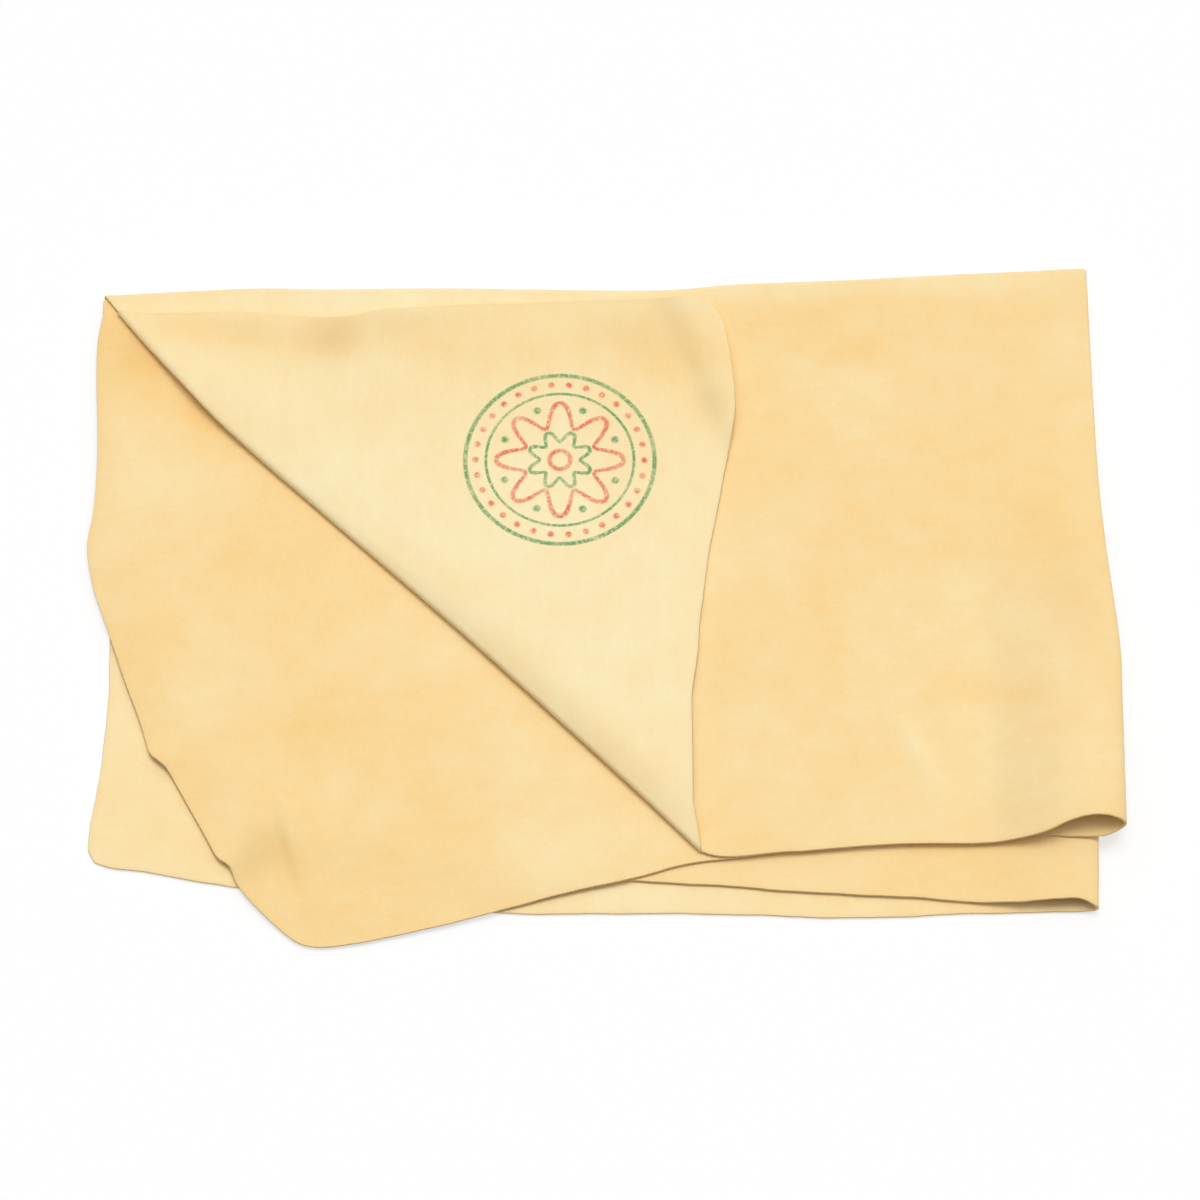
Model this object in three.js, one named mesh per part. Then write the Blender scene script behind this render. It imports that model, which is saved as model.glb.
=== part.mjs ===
// A chamois leather folded in four, with one corner of its top leaf turned back over itself.
// Millimetres, +Z up. +X runs to the side folds on the right, +Y to the back fold, and the
// open edges face the front. The finished part rests on Z = 0, centred under its own box.
import * as THREE from 'three';

const { clamp, degToRad, lerp, smoothstep } = THREE.MathUtils;

// The skin, the air between two leaves, and the cut between two neighbours in one leaf
const LEATHER_THICKNESS = 1.0;
const LEAF_GAP = 0.3;
const SEAM_GAP = 0.3;

// The folded rectangle, and how much further back its back fold lies at the right than at the left
const FOLDED_WIDTH = 348;
const FOLDED_DEPTH = 238;
const BACK_FOLD_SKEW = 12;

// How far each folded edge reaches in from its nose before the flat leaf starts
const BACK_FOLD_REACH = 8;
const SIDE_FOLD_REACH = 16;
const CORNER_FOLD_REACH = 24;

// The side folds: they close at the back and open into loops at the front
const UPPER_LOOP_HEIGHT = 8;
const LOWER_LOOP_HEIGHT = 4.5;
const LOOP_LENGTH = 44;
const UPPER_FOLD_SWING = 4.5;
const LOWER_FOLD_SWING = 6;
// Shares of the way from the back to the front between which the loops open and the upper fold swings
const LOOPS_OPEN = [0.1, 0.95];
const UPPER_FOLD_SWINGS = [0.3, 0.7];

// The turned corner: the angle of its fold to the folded edges, its soft roll, and its lifted tip
const CORNER_ANGLE = 45.4;
const CORNER_FOLD_BOW = 3.5;
const CORNER_BOW_SHARE = 0.55;
const CORNER_ROLL_HEIGHT = 3;
const CORNER_TIP_LIFT = 2.2;
const CORNER_TIP_SPREAD = 60;

// How far the second leaf's loose corner hangs down past the leaves under it, and over what length
const LOOSE_CORNER_DROOP = 2;
const LOOSE_CORNER_SPREAD = 38;

// Where the top leaf's cut edge meets the corner's fold, in from the front of the rectangle
const TOP_FRONT_INSET = 19.5;
// Where the turned corner's cut edge leaves that fold, in front of the back fold
const TURNED_EDGE_INSET = 11.5;
// The length of that edge that closes the narrow end of the turned corner
const NARROW_END = 5;

// Facets: a leaf's columns run in from its side fold, closer where the loops curve and at its corner
const LEAF_COLUMNS = 20;
const LEAF_ROWS = 10;
const LOOP_COLUMNS = 6;
const TIP_COLUMNS = 3;
const CLOSE_STEP = 7;
const FRONT_CLOSENESS = 1.5;
const CORNER_COLUMNS = 14;
const CORNER_ROWS = 10;
const FOLD_SECTION_STEPS = 18;
const FOLD_STATIONS = 11;
const ROLL_SECTION_STEPS = 12;
const ROLL_ROUND_SHARE = 0.8;
const ROLL_STATIONS = 10;
const SIDE_EDGE_STEPS = 8;
const SLOPE_STEP = 1e-4;

// The cut edges, hide-shaped. Front points: share of the width from the left, inset from the front.
// Left points: share of the depth from the back, inset from the left.
const BOTTOM_FRONT = [[0.018, 18], [0.035, 16], [0.075, 14], [0.16, 9], [0.41, 0], [0.74, -2], [0.93, 0]];
const BOTTOM_LEFT = [[0.07, 1], [0.25, 4], [0.46, 6], [0.61, 8], [0.77, 7], [0.89, 4], [0.91, 4.5]];
const THIRD_FRONT = [[0.17, 40], [0.28, 26], [0.42, 15], [0.54, 11], [0.66, 9], [0.89, 3], [0.93, 1]];
const THIRD_LEFT = [[0.07, 2], [0.27, 8], [0.5, 16], [0.68, 32]];
const SECOND_FRONT = [
  [0.22, -12], [0.25, -13], [0.31, -9], [0.41, 1], [0.54, 12], [0.63, 18], [0.89, 20], [0.96, 23],
];
const SECOND_LEFT = [
  [0.07, -1], [0.35, 0], [0.43, -2], [0.59, 8], [0.74, 22], [0.89, 43], [0.99, 60], [1.03, 68],
];
const TOP_FRONT = [[0.79, 21], [0.89, 22], [0.96, 26]];
// The turned corner's edges. Top points: share of its width from the left, inset from the back fold.
// Side points: share of its depth from the back, distance past the end of the fold.
const TURNED_TOP = [[0.37, 12.5], [0.48, 9.5], [0.74, 6.5], [0.93, 7.5]];
const TURNED_SIDE = [[0.02, 9], [0.15, 14], [0.2, 14.5], [0.26, 11], [0.43, 3], [0.66, -2]];

// The nose of a loop sits at this share of the loop's height
const NOSE_SHARE = 0.45;
// A teardrop is fullest at this share of its length from the nose, where its raw formula has this value
const TEARDROP_FULLEST = 0.25;
const TEARDROP_PEAK = 2 * Math.sin(Math.PI / 3) ** 3 * Math.cos(Math.PI / 3);

const leafPitch = LEATHER_THICKNESS + LEAF_GAP;
const halfWidth = FOLDED_WIDTH / 2;
const halfDepth = FOLDED_DEPTH / 2;
const halfSkin = LEATHER_THICKNESS / 2;

// The middle height of a flat leaf, counted from 0 for the one on the table
const levelOf = (leaf) => halfSkin + leaf * leafPitch;
const BOTTOM = 0;
const THIRD = 1;
const SECOND = 2;
const TOP = 3;
const TURNED = 4;

// The back fold's outer line, and the share of the way from it to the front
const backLine = (x) => halfDepth + (BACK_FOLD_SKEW * x) / FOLDED_WIDTH;
const shareToFront = (y) => 0.5 - y / FOLDED_DEPTH;

// The outer lines of the two side folds: the upper one swings out, the lower one in
const upperNose = (y) => halfWidth + UPPER_FOLD_SWING * smoothstep(shareToFront(y), ...UPPER_FOLD_SWINGS);
const lowerNose = (y) => halfWidth - LOWER_FOLD_SWING * shareToFront(y);

// The corner's fold runs from the back fold's left end to the top leaf's front edge
const foldStart = new THREE.Vector2(-halfWidth, backLine(-halfWidth));
const foldAngle = degToRad(CORNER_ANGLE);
const foldAlong = new THREE.Vector2(Math.cos(foldAngle), -Math.sin(foldAngle));
const foldInward = new THREE.Vector2(Math.sin(foldAngle), Math.cos(foldAngle));
const foldEndY = TOP_FRONT_INSET - halfDepth;
const foldEndX = foldStart.x + (foldStart.y - foldEndY) / Math.tan(foldAngle);

// How far apart a loop holds its two leaves at a distance in from its nose, as a teardrop
function loopOpening(inset, height, length) {
  const turn = Math.acos(clamp((2 * inset) / length - 1, -1, 1));
  return (height * Math.sin(turn) * Math.sin(turn / 2) ** 2) / TEARDROP_PEAK;
}

// How much of a side loop is open at a place between the back and the front
const loopShare = (y) => smoothstep(shareToFront(y), ...LOOPS_OPEN);
const upperOpening = (x, y) => loopOpening(upperNose(y) - x, UPPER_LOOP_HEIGHT * loopShare(y), LOOP_LENGTH);
const lowerOpening = (x, y) => loopOpening(lowerNose(y) - x, LOWER_LOOP_HEIGHT * loopShare(y), LOOP_LENGTH);

// The leaves above the lower loop bridge its nose instead of following it down
function liftOnLowerLoop(x, y) {
  const fullest = lowerNose(y) - TEARDROP_FULLEST * LOOP_LENGTH;
  return lowerOpening(Math.min(x, fullest), y);
}

// Points of a cut edge, from shares and insets
const frontPoint = ([share, inset]) => new THREE.Vector2(share * FOLDED_WIDTH - halfWidth, inset - halfDepth);
const leftPoint = ([share, inset]) => new THREE.Vector2(inset - halfWidth, halfDepth - share * FOLDED_DEPTH);

// The second leaf's loose corner hangs lower the nearer it is to its own tip
const looseTip = frontPoint(SECOND_FRONT[0]);
function looseDroop(x, y) {
  const away = Math.hypot(x - looseTip.x, y - looseTip.y);
  return LOOSE_CORNER_DROOP * smoothstep(LOOSE_CORNER_SPREAD - away, 0, LOOSE_CORNER_SPREAD);
}

// The turned corner's free tip lifts off the top leaf
const turnedTip = new THREE.Vector2(foldEndX + TURNED_SIDE[1][1], backLine(foldEndX) - TURNED_EDGE_INSET);
function tipLift(x, y) {
  const away = Math.hypot(x - turnedTip.x, y - turnedTip.y);
  return CORNER_TIP_LIFT * smoothstep(CORNER_TIP_SPREAD - away, 0, CORNER_TIP_SPREAD);
}

// The middle height of each leaf over a place in the plan
const heightOf = {
  bottom: () => levelOf(BOTTOM),
  third: (x, y) => levelOf(THIRD) + lowerOpening(x, y),
  second: (x, y) => levelOf(SECOND) + liftOnLowerLoop(x, y) - looseDroop(x, y),
  top: (x, y) => levelOf(TOP) + liftOnLowerLoop(x, y) + upperOpening(x, y),
  turned: (x, y) => levelOf(TURNED) + tipLift(x, y),
};

// The direction square to a surface of two shares, from small steps along each
function squareTo(surface, across, along) {
  const [low, high] = [Math.max(across - SLOPE_STEP, 0), Math.min(across + SLOPE_STEP, 1)];
  const [near, far] = [Math.max(along - SLOPE_STEP, 0), Math.min(along + SLOPE_STEP, 1)];
  const alongAcross = surface(high, along).sub(surface(low, along));
  const alongLength = surface(across, far).sub(surface(across, near));
  return alongAcross.cross(alongLength).normalize();
}

// A closed sheet of leather over a middle surface: one grid on each face, joined round the rim
function leatherSheet(surface, columns, rows) {
  const corners = [];
  for (const face of [halfSkin, -halfSkin]) {
    for (let row = 0; row <= rows; row += 1) {
      for (let column = 0; column <= columns; column += 1) {
        const at = surface(column / columns, row / rows);
        at.addScaledVector(squareTo(surface, column / columns, row / rows), face);
        corners.push(at.x, at.y, at.z);
      }
    }
  }
  const otherFace = (columns + 1) * (rows + 1);
  const spot = (column, row) => row * (columns + 1) + column;
  const faces = [];
  for (let row = 0; row < rows; row += 1) {
    for (let column = 0; column < columns; column += 1) {
      const [a, b] = [spot(column, row), spot(column + 1, row)];
      const [d, c] = [spot(column, row + 1), spot(column + 1, row + 1)];
      faces.push(a, b, c, a, c, d);
      faces.push(a + otherFace, c + otherFace, b + otherFace, a + otherFace, d + otherFace, c + otherFace);
    }
  }
  const rim = [];
  for (let column = 0; column < columns; column += 1) rim.push(spot(column, 0));
  for (let row = 0; row < rows; row += 1) rim.push(spot(columns, row));
  for (let column = columns; column > 0; column -= 1) rim.push(spot(column, rows));
  for (let row = rows; row > 0; row -= 1) rim.push(spot(0, row));
  rim.forEach((a, place) => {
    const b = rim[(place + 1) % rim.length];
    faces.push(a, a + otherFace, b + otherFace, a, b + otherFace, b);
  });
  const geometry = new THREE.BufferGeometry();
  geometry.setAttribute('position', new THREE.Float32BufferAttribute(corners, 3));
  geometry.setIndex(faces);
  geometry.computeVertexNormals();
  return geometry;
}

// The distance share along an edge: close columns at both ends, and even ones between them
function closeShare(share, length) {
  const column = share * LEAF_COLUMNS;
  const step = Math.min(CLOSE_STEP, length / LEAF_COLUMNS);
  const evenColumns = LEAF_COLUMNS - LOOP_COLUMNS - TIP_COLUMNS;
  const evenStep = (length - (LOOP_COLUMNS + TIP_COLUMNS) * step) / evenColumns;
  const loop = Math.min(column, LOOP_COLUMNS) * step;
  const even = clamp(column - LOOP_COLUMNS, 0, evenColumns) * evenStep;
  const tip = Math.max(column - LOOP_COLUMNS - evenColumns, 0) * step;
  return (loop + even + tip) / length;
}
const evenShare = (share) => share;
// Rows close up towards the front
const closeRow = (share) => 1 - (1 - share) ** FRONT_CLOSENESS;

// A surface inside four edges: two that run across and two that run along, raised to a height
function fourSided(edges, spacing, rowSpacing, height) {
  const [start, end, first, last] = edges;
  const [startLength, endLength] = [start.getLength(), end.getLength()];
  const corner = [start.getPointAt(0), start.getPointAt(1), end.getPointAt(0), end.getPointAt(1)];
  return (across, row) => {
    const along = rowSpacing(row);
    const onStart = spacing(across, startLength);
    const onEnd = spacing(across, endLength);
    const weight = lerp(onStart, onEnd, along);
    const plan = start.getPointAt(onStart).multiplyScalar(1 - along);
    plan.addScaledVector(end.getPointAt(onEnd), along);
    plan.addScaledVector(first.getPointAt(along), 1 - weight);
    plan.addScaledVector(last.getPointAt(along), weight);
    plan.addScaledVector(corner[0], -(1 - weight) * (1 - along));
    plan.addScaledVector(corner[1], -weight * (1 - along));
    plan.addScaledVector(corner[2], -(1 - weight) * along);
    plan.addScaledVector(corner[3], -weight * along);
    return new THREE.Vector3(plan.x, plan.y, height(plan.x, plan.y));
  };
}

const smoothEdge = (points) => new THREE.SplineCurve(points);
const straightEdge = (from, to) => new THREE.LineCurve(from, to);

// Where a flat leaf starts: in front of the back folds, and inside the side folds
const leafBack = (x) => backLine(x) - BACK_FOLD_REACH - SEAM_GAP;
const leafRight = (nose, y) => nose(y) - SIDE_FOLD_REACH - SEAM_GAP;
const sideFoldBack = leafBack(halfWidth - SIDE_FOLD_REACH - SEAM_GAP);

// A leaf's edge beside its side fold, from the back to the front
function besideFold(nose, frontY) {
  const points = [];
  for (let step = 0; step <= SIDE_EDGE_STEPS; step += 1) {
    const y = lerp(sideFoldBack, frontY, step / SIDE_EDGE_STEPS);
    points.push(new THREE.Vector2(leafRight(nose, y), y));
  }
  return smoothEdge(points);
}

// One of the four leaves: its edges run from the side fold to the left, and from the back to the front
function leaf(front, left, nose, height) {
  const frontPoints = front.map(frontPoint).reverse();
  const right = besideFold(nose, frontPoints[0].y);
  frontPoints[0].copy(right.getPointAt(1));
  const leftPoints = left.map(leftPoint);
  leftPoints[0].y = leafBack(leftPoints[0].x);
  leftPoints.push(frontPoints.at(-1));
  const back = straightEdge(right.getPointAt(0), leftPoints[0]);
  const edges = [back, smoothEdge(frontPoints), right, smoothEdge(leftPoints)];
  return leatherSheet(fourSided(edges, closeShare, closeRow, height), LEAF_COLUMNS, LEAF_ROWS);
}

// Where a line beside the corner's fold, at a distance in from it, meets a line across the plan
function alongFoldTo(inset, through, direction) {
  const from = foldStart.clone().addScaledVector(foldInward, inset);
  const gap = through.clone().sub(from);
  return gap.cross(direction) / foldAlong.cross(direction);
}
const besideCornerFold = (inset, along) => foldStart.clone()
  .addScaledVector(foldInward, inset)
  .addScaledVector(foldAlong, along);

// The lines that end the corner's fold: the back folds or the turned edge, and the two front edges
const backDirection = new THREE.Vector2(FOLDED_WIDTH, BACK_FOLD_SKEW);
const inFrontOfBack = (inset) => new THREE.Vector2(0, backLine(0) - inset);
const foldEnd = new THREE.Vector2(foldEndX, foldEndY);
const frontDirection = new THREE.Vector2(1, 0);
const sideDirection = new THREE.Vector2(0, 1);
const leafInset = CORNER_FOLD_REACH + SEAM_GAP;

// The top leaf, with the corner's fold as its left side
function topLeaf() {
  const frontPoints = TOP_FRONT.map(frontPoint).reverse();
  const right = besideFold(upperNose, frontPoints[0].y);
  frontPoints[0].copy(right.getPointAt(1));
  const backLeft = besideCornerFold(
    leafInset,
    alongFoldTo(leafInset, inFrontOfBack(BACK_FOLD_REACH + SEAM_GAP), backDirection),
  );
  const frontLeft = besideCornerFold(leafInset, alongFoldTo(leafInset, foldEnd, frontDirection));
  frontPoints.push(frontLeft);
  const back = straightEdge(right.getPointAt(0), backLeft);
  const edges = [back, smoothEdge(frontPoints), right, straightEdge(backLeft, frontLeft)];
  return leatherSheet(fourSided(edges, closeShare, closeRow, heightOf.top), LEAF_COLUMNS, LEAF_ROWS);
}

// The corner that is turned back: its fold side, then its narrow end, its side edge and its top edge
function turnedCorner() {
  const narrowEnd = besideCornerFold(
    leafInset,
    alongFoldTo(leafInset, inFrontOfBack(TURNED_EDGE_INSET), backDirection),
  );
  const foldSideEnd = besideCornerFold(leafInset, alongFoldTo(leafInset, foldEnd, sideDirection));
  const sidePoints = TURNED_SIDE.map(([share, past]) => new THREE.Vector2(
    foldEndX + past,
    lerp(backLine(foldEndX) - TURNED_EDGE_INSET, foldSideEnd.y, share),
  ));
  const topPoints = TURNED_TOP.map(([share, inset]) => {
    const x = lerp(-halfWidth, sidePoints[0].x, share);
    return new THREE.Vector2(x, backLine(x) - inset);
  });
  const topStart = narrowEnd.clone().addScaledVector(backDirection.clone().normalize(), NARROW_END);
  const edges = [
    straightEdge(narrowEnd, foldSideEnd),
    smoothEdge([topStart, ...topPoints, sidePoints[0]]),
    straightEdge(narrowEnd, topStart),
    smoothEdge([...sidePoints, foldSideEnd].reverse()),
  ];
  return leatherSheet(fourSided(edges, evenShare, evenShare, heightOf.turned), CORNER_COLUMNS, CORNER_ROWS);
}

// How far apart two leaves lie at a distance in from the nose that joins them, loop and all
function leavesApart(inset, opening, length) {
  const noseRadius = leafPitch / 2;
  const round = 1 - Math.min(inset / noseRadius, 1);
  return leafPitch * Math.sqrt(1 - round * round) + loopOpening(inset, opening, length);
}

// One place across a folded edge: share 0 is the lower leaf, 0.5 the nose and 1 the upper leaf
function acrossFold(share, reach, opening, length) {
  const side = 2 * share - 1;
  const inset = reach * side * side;
  const apart = leavesApart(inset, opening, length);
  const nearNose = leavesApart(Math.min(inset, TEARDROP_FULLEST * length), opening, length);
  const rise = NOSE_SHARE * (leafPitch + opening - nearNose);
  return { inset: inset + halfSkin, height: side > 0 ? rise + apart : rise };
}

// A side fold, from the back folds to the two cut edges that end it at the front
function sideFold(nose, loopHeight, base, lowerFront, upperFront) {
  const reach = SIDE_FOLD_REACH - halfSkin;
  const surface = (across, along) => {
    const frontY = lerp(lowerFront, upperFront, across);
    const y = lerp(sideFoldBack, frontY, along);
    const place = acrossFold(across, reach, loopHeight * loopShare(y), LOOP_LENGTH);
    const x = nose(y) - place.inset;
    return new THREE.Vector3(x, y, base(x, y) + place.height);
  };
  return leatherSheet(surface, FOLD_SECTION_STEPS, FOLD_STATIONS);
}
const lastFrontY = (front) => front.at(-1)[1] - halfDepth;

// The corner's fold: a soft roll, fullest half way, between the top leaf and the turned corner.
// Its nose bows out of line in the half nearer the back.
function cornerFold() {
  const reach = CORNER_FOLD_REACH - halfSkin;
  const surface = (across, along) => {
    const opening = CORNER_ROLL_HEIGHT * Math.sin(Math.PI * along);
    const place = acrossFold(across, reach, opening, CORNER_FOLD_REACH);
    const backInset = lerp(BACK_FOLD_REACH + SEAM_GAP, TURNED_EDGE_INSET, smoothstep(across, 0.5, 1));
    const endDirection = across < 0.5 ? frontDirection : sideDirection;
    const from = alongFoldTo(place.inset, inFrontOfBack(backInset), backDirection);
    const to = alongFoldTo(place.inset, foldEnd, endDirection);
    const plan = besideCornerFold(place.inset, lerp(from, to, along));
    const bow = CORNER_FOLD_BOW * Math.sin(Math.PI * Math.min(along / CORNER_BOW_SHARE, 1)) ** 2;
    plan.addScaledVector(foldInward, -bow * (1 - place.inset / CORNER_FOLD_REACH));
    return new THREE.Vector3(plan.x, plan.y, levelOf(TOP) + place.height);
  };
  return leatherSheet(surface, FOLD_SECTION_STEPS, FOLD_STATIONS);
}

// A back fold: flat, half round the nose, and flat again, between two ends given for each leaf
function backFold(lowerLeaf, upperLeaf, leftEnd, rightEnd) {
  const middle = (levelOf(lowerLeaf) + levelOf(upperLeaf)) / 2;
  const radius = (levelOf(upperLeaf) - levelOf(lowerLeaf)) / 2;
  const roundInset = (levelOf(TOP) - levelOf(BOTTOM)) / 2 + halfSkin;
  const flat = BACK_FOLD_REACH - roundInset;
  const surface = (across, along) => {
    const side = 2 * across - 1;
    const turn = clamp(side / ROLL_ROUND_SHARE, -1, 1) * (Math.PI / 2);
    const straight = (Math.max(Math.abs(side) - ROLL_ROUND_SHARE, 0) / (1 - ROLL_ROUND_SHARE)) * flat;
    const inset = roundInset + straight - radius * Math.cos(turn);
    const x = lerp(leftEnd(inset, across), rightEnd, along);
    return new THREE.Vector3(x, backLine(x) - inset, middle + radius * Math.sin(turn));
  };
  return leatherSheet(surface, ROLL_SECTION_STEPS, ROLL_STATIONS);
}

// Under the turned corner the outer back fold's upper half starts at the corner's fold
const besideTopCorner = (inset, across) => -halfWidth + (across > 0.5 ? inset / Math.tan(foldAngle) : 0);
const besideLeftEdges = () => -halfWidth;

const deepColour = new THREE.Color('#f3d49a');
const paleColour = new THREE.Color('#f6e2b4');
const roughness = 0.95;

// One named piece of the skin
function piece(name, geometry, color) {
  const mesh = new THREE.Mesh(geometry, new THREE.MeshStandardMaterial({ color, roughness, metalness: 0 }));
  mesh.name = name;
  return mesh;
}

const lowerBase = () => levelOf(BOTTOM);
const upperBase = (x, y) => levelOf(SECOND) + liftOnLowerLoop(x, y);

const skin = new THREE.Group();
skin.add(
  piece('bottom_leaf', leaf(BOTTOM_FRONT, BOTTOM_LEFT, lowerNose, heightOf.bottom), paleColour),
  piece('third_leaf', leaf(THIRD_FRONT, THIRD_LEFT, lowerNose, heightOf.third), deepColour),
  piece('second_leaf', leaf(SECOND_FRONT, SECOND_LEFT, upperNose, heightOf.second), deepColour),
  piece('top_leaf', topLeaf(), deepColour),
  piece('turned_corner', turnedCorner(), paleColour),
  piece('corner_fold', cornerFold(), paleColour),
  piece(
    'lower_right_fold',
    sideFold(lowerNose, LOWER_LOOP_HEIGHT, lowerBase, lastFrontY(BOTTOM_FRONT), lastFrontY(THIRD_FRONT)),
    deepColour,
  ),
  piece(
    'upper_right_fold',
    sideFold(upperNose, UPPER_LOOP_HEIGHT, upperBase, lastFrontY(SECOND_FRONT), lastFrontY(TOP_FRONT)),
    deepColour,
  ),
  piece('top_fold_outer', backFold(BOTTOM, TOP, besideTopCorner, halfWidth), deepColour),
  piece('top_fold_inner', backFold(THIRD, SECOND, besideLeftEdges, halfWidth), deepColour),
);

// The origin is under the middle of the part's own box
const box = new THREE.Box3().setFromObject(skin, true);
const middle = box.getCenter(new THREE.Vector3());
skin.position.set(-middle.x, -middle.y, -box.min.z);

const chamois = new THREE.Group();
chamois.add(skin);

export default chamois;
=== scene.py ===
# %% [markdown]
# # A folded chamois leather
#
# The real thing is one soft skin. It was folded from left to right, then from front to back, and then
# a corner of the top leaf was turned back over a diagonal fold. A cloth simulation could fold it, but a
# leather keeps the folds that a hand has pressed into it. So each leaf is laid out here by formula, and
# the leaves, side folds and back folds run on into each other as they do on the table.

import bpy
import numpy as np
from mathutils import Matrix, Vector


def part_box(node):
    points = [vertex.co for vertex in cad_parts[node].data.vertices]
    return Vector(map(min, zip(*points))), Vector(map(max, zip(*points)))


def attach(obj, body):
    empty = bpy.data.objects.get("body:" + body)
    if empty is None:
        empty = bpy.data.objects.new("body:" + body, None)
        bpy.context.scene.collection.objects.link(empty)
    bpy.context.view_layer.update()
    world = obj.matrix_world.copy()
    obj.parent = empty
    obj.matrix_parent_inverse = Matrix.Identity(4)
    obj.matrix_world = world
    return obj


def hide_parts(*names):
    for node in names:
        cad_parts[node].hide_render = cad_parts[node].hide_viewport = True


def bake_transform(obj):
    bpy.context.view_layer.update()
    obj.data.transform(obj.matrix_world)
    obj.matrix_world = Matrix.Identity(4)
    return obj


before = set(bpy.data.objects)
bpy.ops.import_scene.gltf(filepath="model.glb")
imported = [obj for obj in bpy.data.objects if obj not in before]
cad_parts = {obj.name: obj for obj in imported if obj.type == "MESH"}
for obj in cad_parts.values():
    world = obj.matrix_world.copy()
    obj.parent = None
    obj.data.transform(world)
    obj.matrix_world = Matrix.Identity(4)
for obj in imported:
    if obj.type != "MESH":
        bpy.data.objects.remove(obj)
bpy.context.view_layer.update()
scene = bpy.context.scene

# %% [markdown]
# ## The sizes
#
# All lengths are millimetres in the frame that the solids were drawn in, with the middle of the folded
# rectangle at the origin. One corner of the outer back fold says how far that frame lies from the packed
# one, so nothing has to be fitted by eye.

# %% Sizes of the skin and its folds
SKIN = 1.0
PITCH = 1.3
WIDTH = 348.0
DEPTH = 238.0
BACK_SKEW = 12.0
BACK_REACH = 8.0
LOOP_LENGTH = 44.0
UPPER_LOOP = 8.0
LOWER_LOOP = 4.5
CORNER_REACH = 24.0
CORNER_ANGLE = np.radians(45.4)

half = SKIN / 2
lowest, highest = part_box("top_fold_outer")
shift = np.array([lowest.x * 1000 + WIDTH / 2, highest.y * 1000 - DEPTH / 2 - BACK_SKEW / 2, 0.0])
level = half + PITCH * np.arange(5)
print("frame shift in mm:", shift.round(3), "leaf heights:", level)

# %% [markdown]
# ## Lines
#
# Cut edges and folded edges are smooth lines through a few measured points. A Catmull-Rom spline passes
# through every point, which a Bezier curve does not, so a point read off the leather stays where it was
# read. A hand-cut hide is never quite smooth, so a small ripple from a fixed seed unsettles its edges.

# %% Lines through points
LINE_STEPS = 40


def smooth_step(share, low, high):
    """0 below low, 1 above high, and 3t^2 - 2t^3 between them."""
    t = np.clip((share - low) / (high - low), 0.0, 1.0)
    return t * t * (3.0 - 2.0 * t)


def smooth_line(points):
    """Catmull-Rom spline: each span is a cubic whose end slopes are half the step between its neighbours."""
    p = np.asarray(points, float)
    p = np.concatenate([p[:1], p, p[-1:]])
    a, b, c, d = p[:-3, None], p[1:-2, None], p[2:-1, None], p[3:, None]
    t = np.linspace(0.0, 1.0, LINE_STEPS, endpoint=False)[None, :, None]
    spans = b + 0.5 * t * ((c - a) + t * ((2 * a - 5 * b + 4 * c - d) + t * (3 * (b - c) + d - a)))
    return np.concatenate([spans.reshape(-1, p.shape[1]), p[-1:]])


def run_along(line):
    """The distance along a line at each of its points."""
    return np.concatenate([[0.0], np.cumsum(np.linalg.norm(np.diff(line, axis=0), axis=1))])


def at_shares(line, shares):
    """Points of a line at shares of its length."""
    run = run_along(line)
    return np.stack([np.interp(np.asarray(shares) * run[-1], run, axis) for axis in line.T], -1)


def square_to(line):
    """Unit vectors square to a line in the plan, on its left as one walks along it."""
    slope = np.gradient(line, axis=0)
    square = np.stack([-slope[:, 1], slope[:, 0]], -1)
    return square / (np.linalg.norm(square, axis=1, keepdims=True) + 1e-9)


def hand_cut(line, seed, depth=0.4):
    """The line moved square to itself by sine waves of four lengths, which fade out at its ends."""
    line = at_shares(line, np.linspace(0, 1, 400))
    run = run_along(line)
    lengths = np.array([67.0, 31.0, 14.0, 6.5])
    phases = np.random.default_rng(seed).uniform(0, 2 * np.pi, len(lengths))
    waves = np.sin(2 * np.pi * run[:, None] / lengths + phases) @ (lengths / lengths.sum())
    ends = smooth_step(np.minimum(run, run[-1] - run), 0.0, 15.0)
    return line + square_to(line) * (depth * ends * waves)[:, None]


# %% [markdown]
# ## Where the folds run
#
# The back fold sways a few millimetres out of line. The upper side fold swings out towards the front and
# the lower one swings in. The corner's fold starts at the back fold's left end and runs down at 45 degrees,
# so that the turned edges lie parallel to the folded ones.

# %% The back fold, the side folds and the corner's fold
BACK_SWAY = smooth_line([
    (-174, 1.4), (-146, 2.1), (-120, 2.3), (-94, 0.9), (-52, -0.2),
    (19, -3.4), (51, -1.8), (94, -1.4), (130, -0.5), (174, 0.6),
])
SIDE_SWING = smooth_line([(0, 1.2), (0.3, 1.3), (0.43, 2.4), (0.6, 5.2), (0.7, 4.8), (0.9, 3.7)])
LOWER_SWING = 6.0
SEARCH_PASSES = 12


def back_line(x):
    """The back fold's outer line: a slope across the width, plus the sway."""
    return DEPTH / 2 + BACK_SKEW * x / WIDTH + np.interp(x, BACK_SWAY[:, 0], BACK_SWAY[:, 1])


LEAF_BACK = back_line(WIDTH / 2) - BACK_REACH


def share_to_front(y):
    """0 at the back of the rectangle and 1 at its front."""
    return 0.5 - y / DEPTH


def upper_nose(y):
    """The upper side fold's outer line: the rectangle's side plus its swing out."""
    return WIDTH / 2 + np.interp(share_to_front(y), SIDE_SWING[:, 0], SIDE_SWING[:, 1])


def lower_nose(y):
    """The lower side fold's outer line, which swings in with the square of the way to the front."""
    return WIDTH / 2 - LOWER_SWING * np.clip(share_to_front(y), 0.0, None) ** 2


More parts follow.
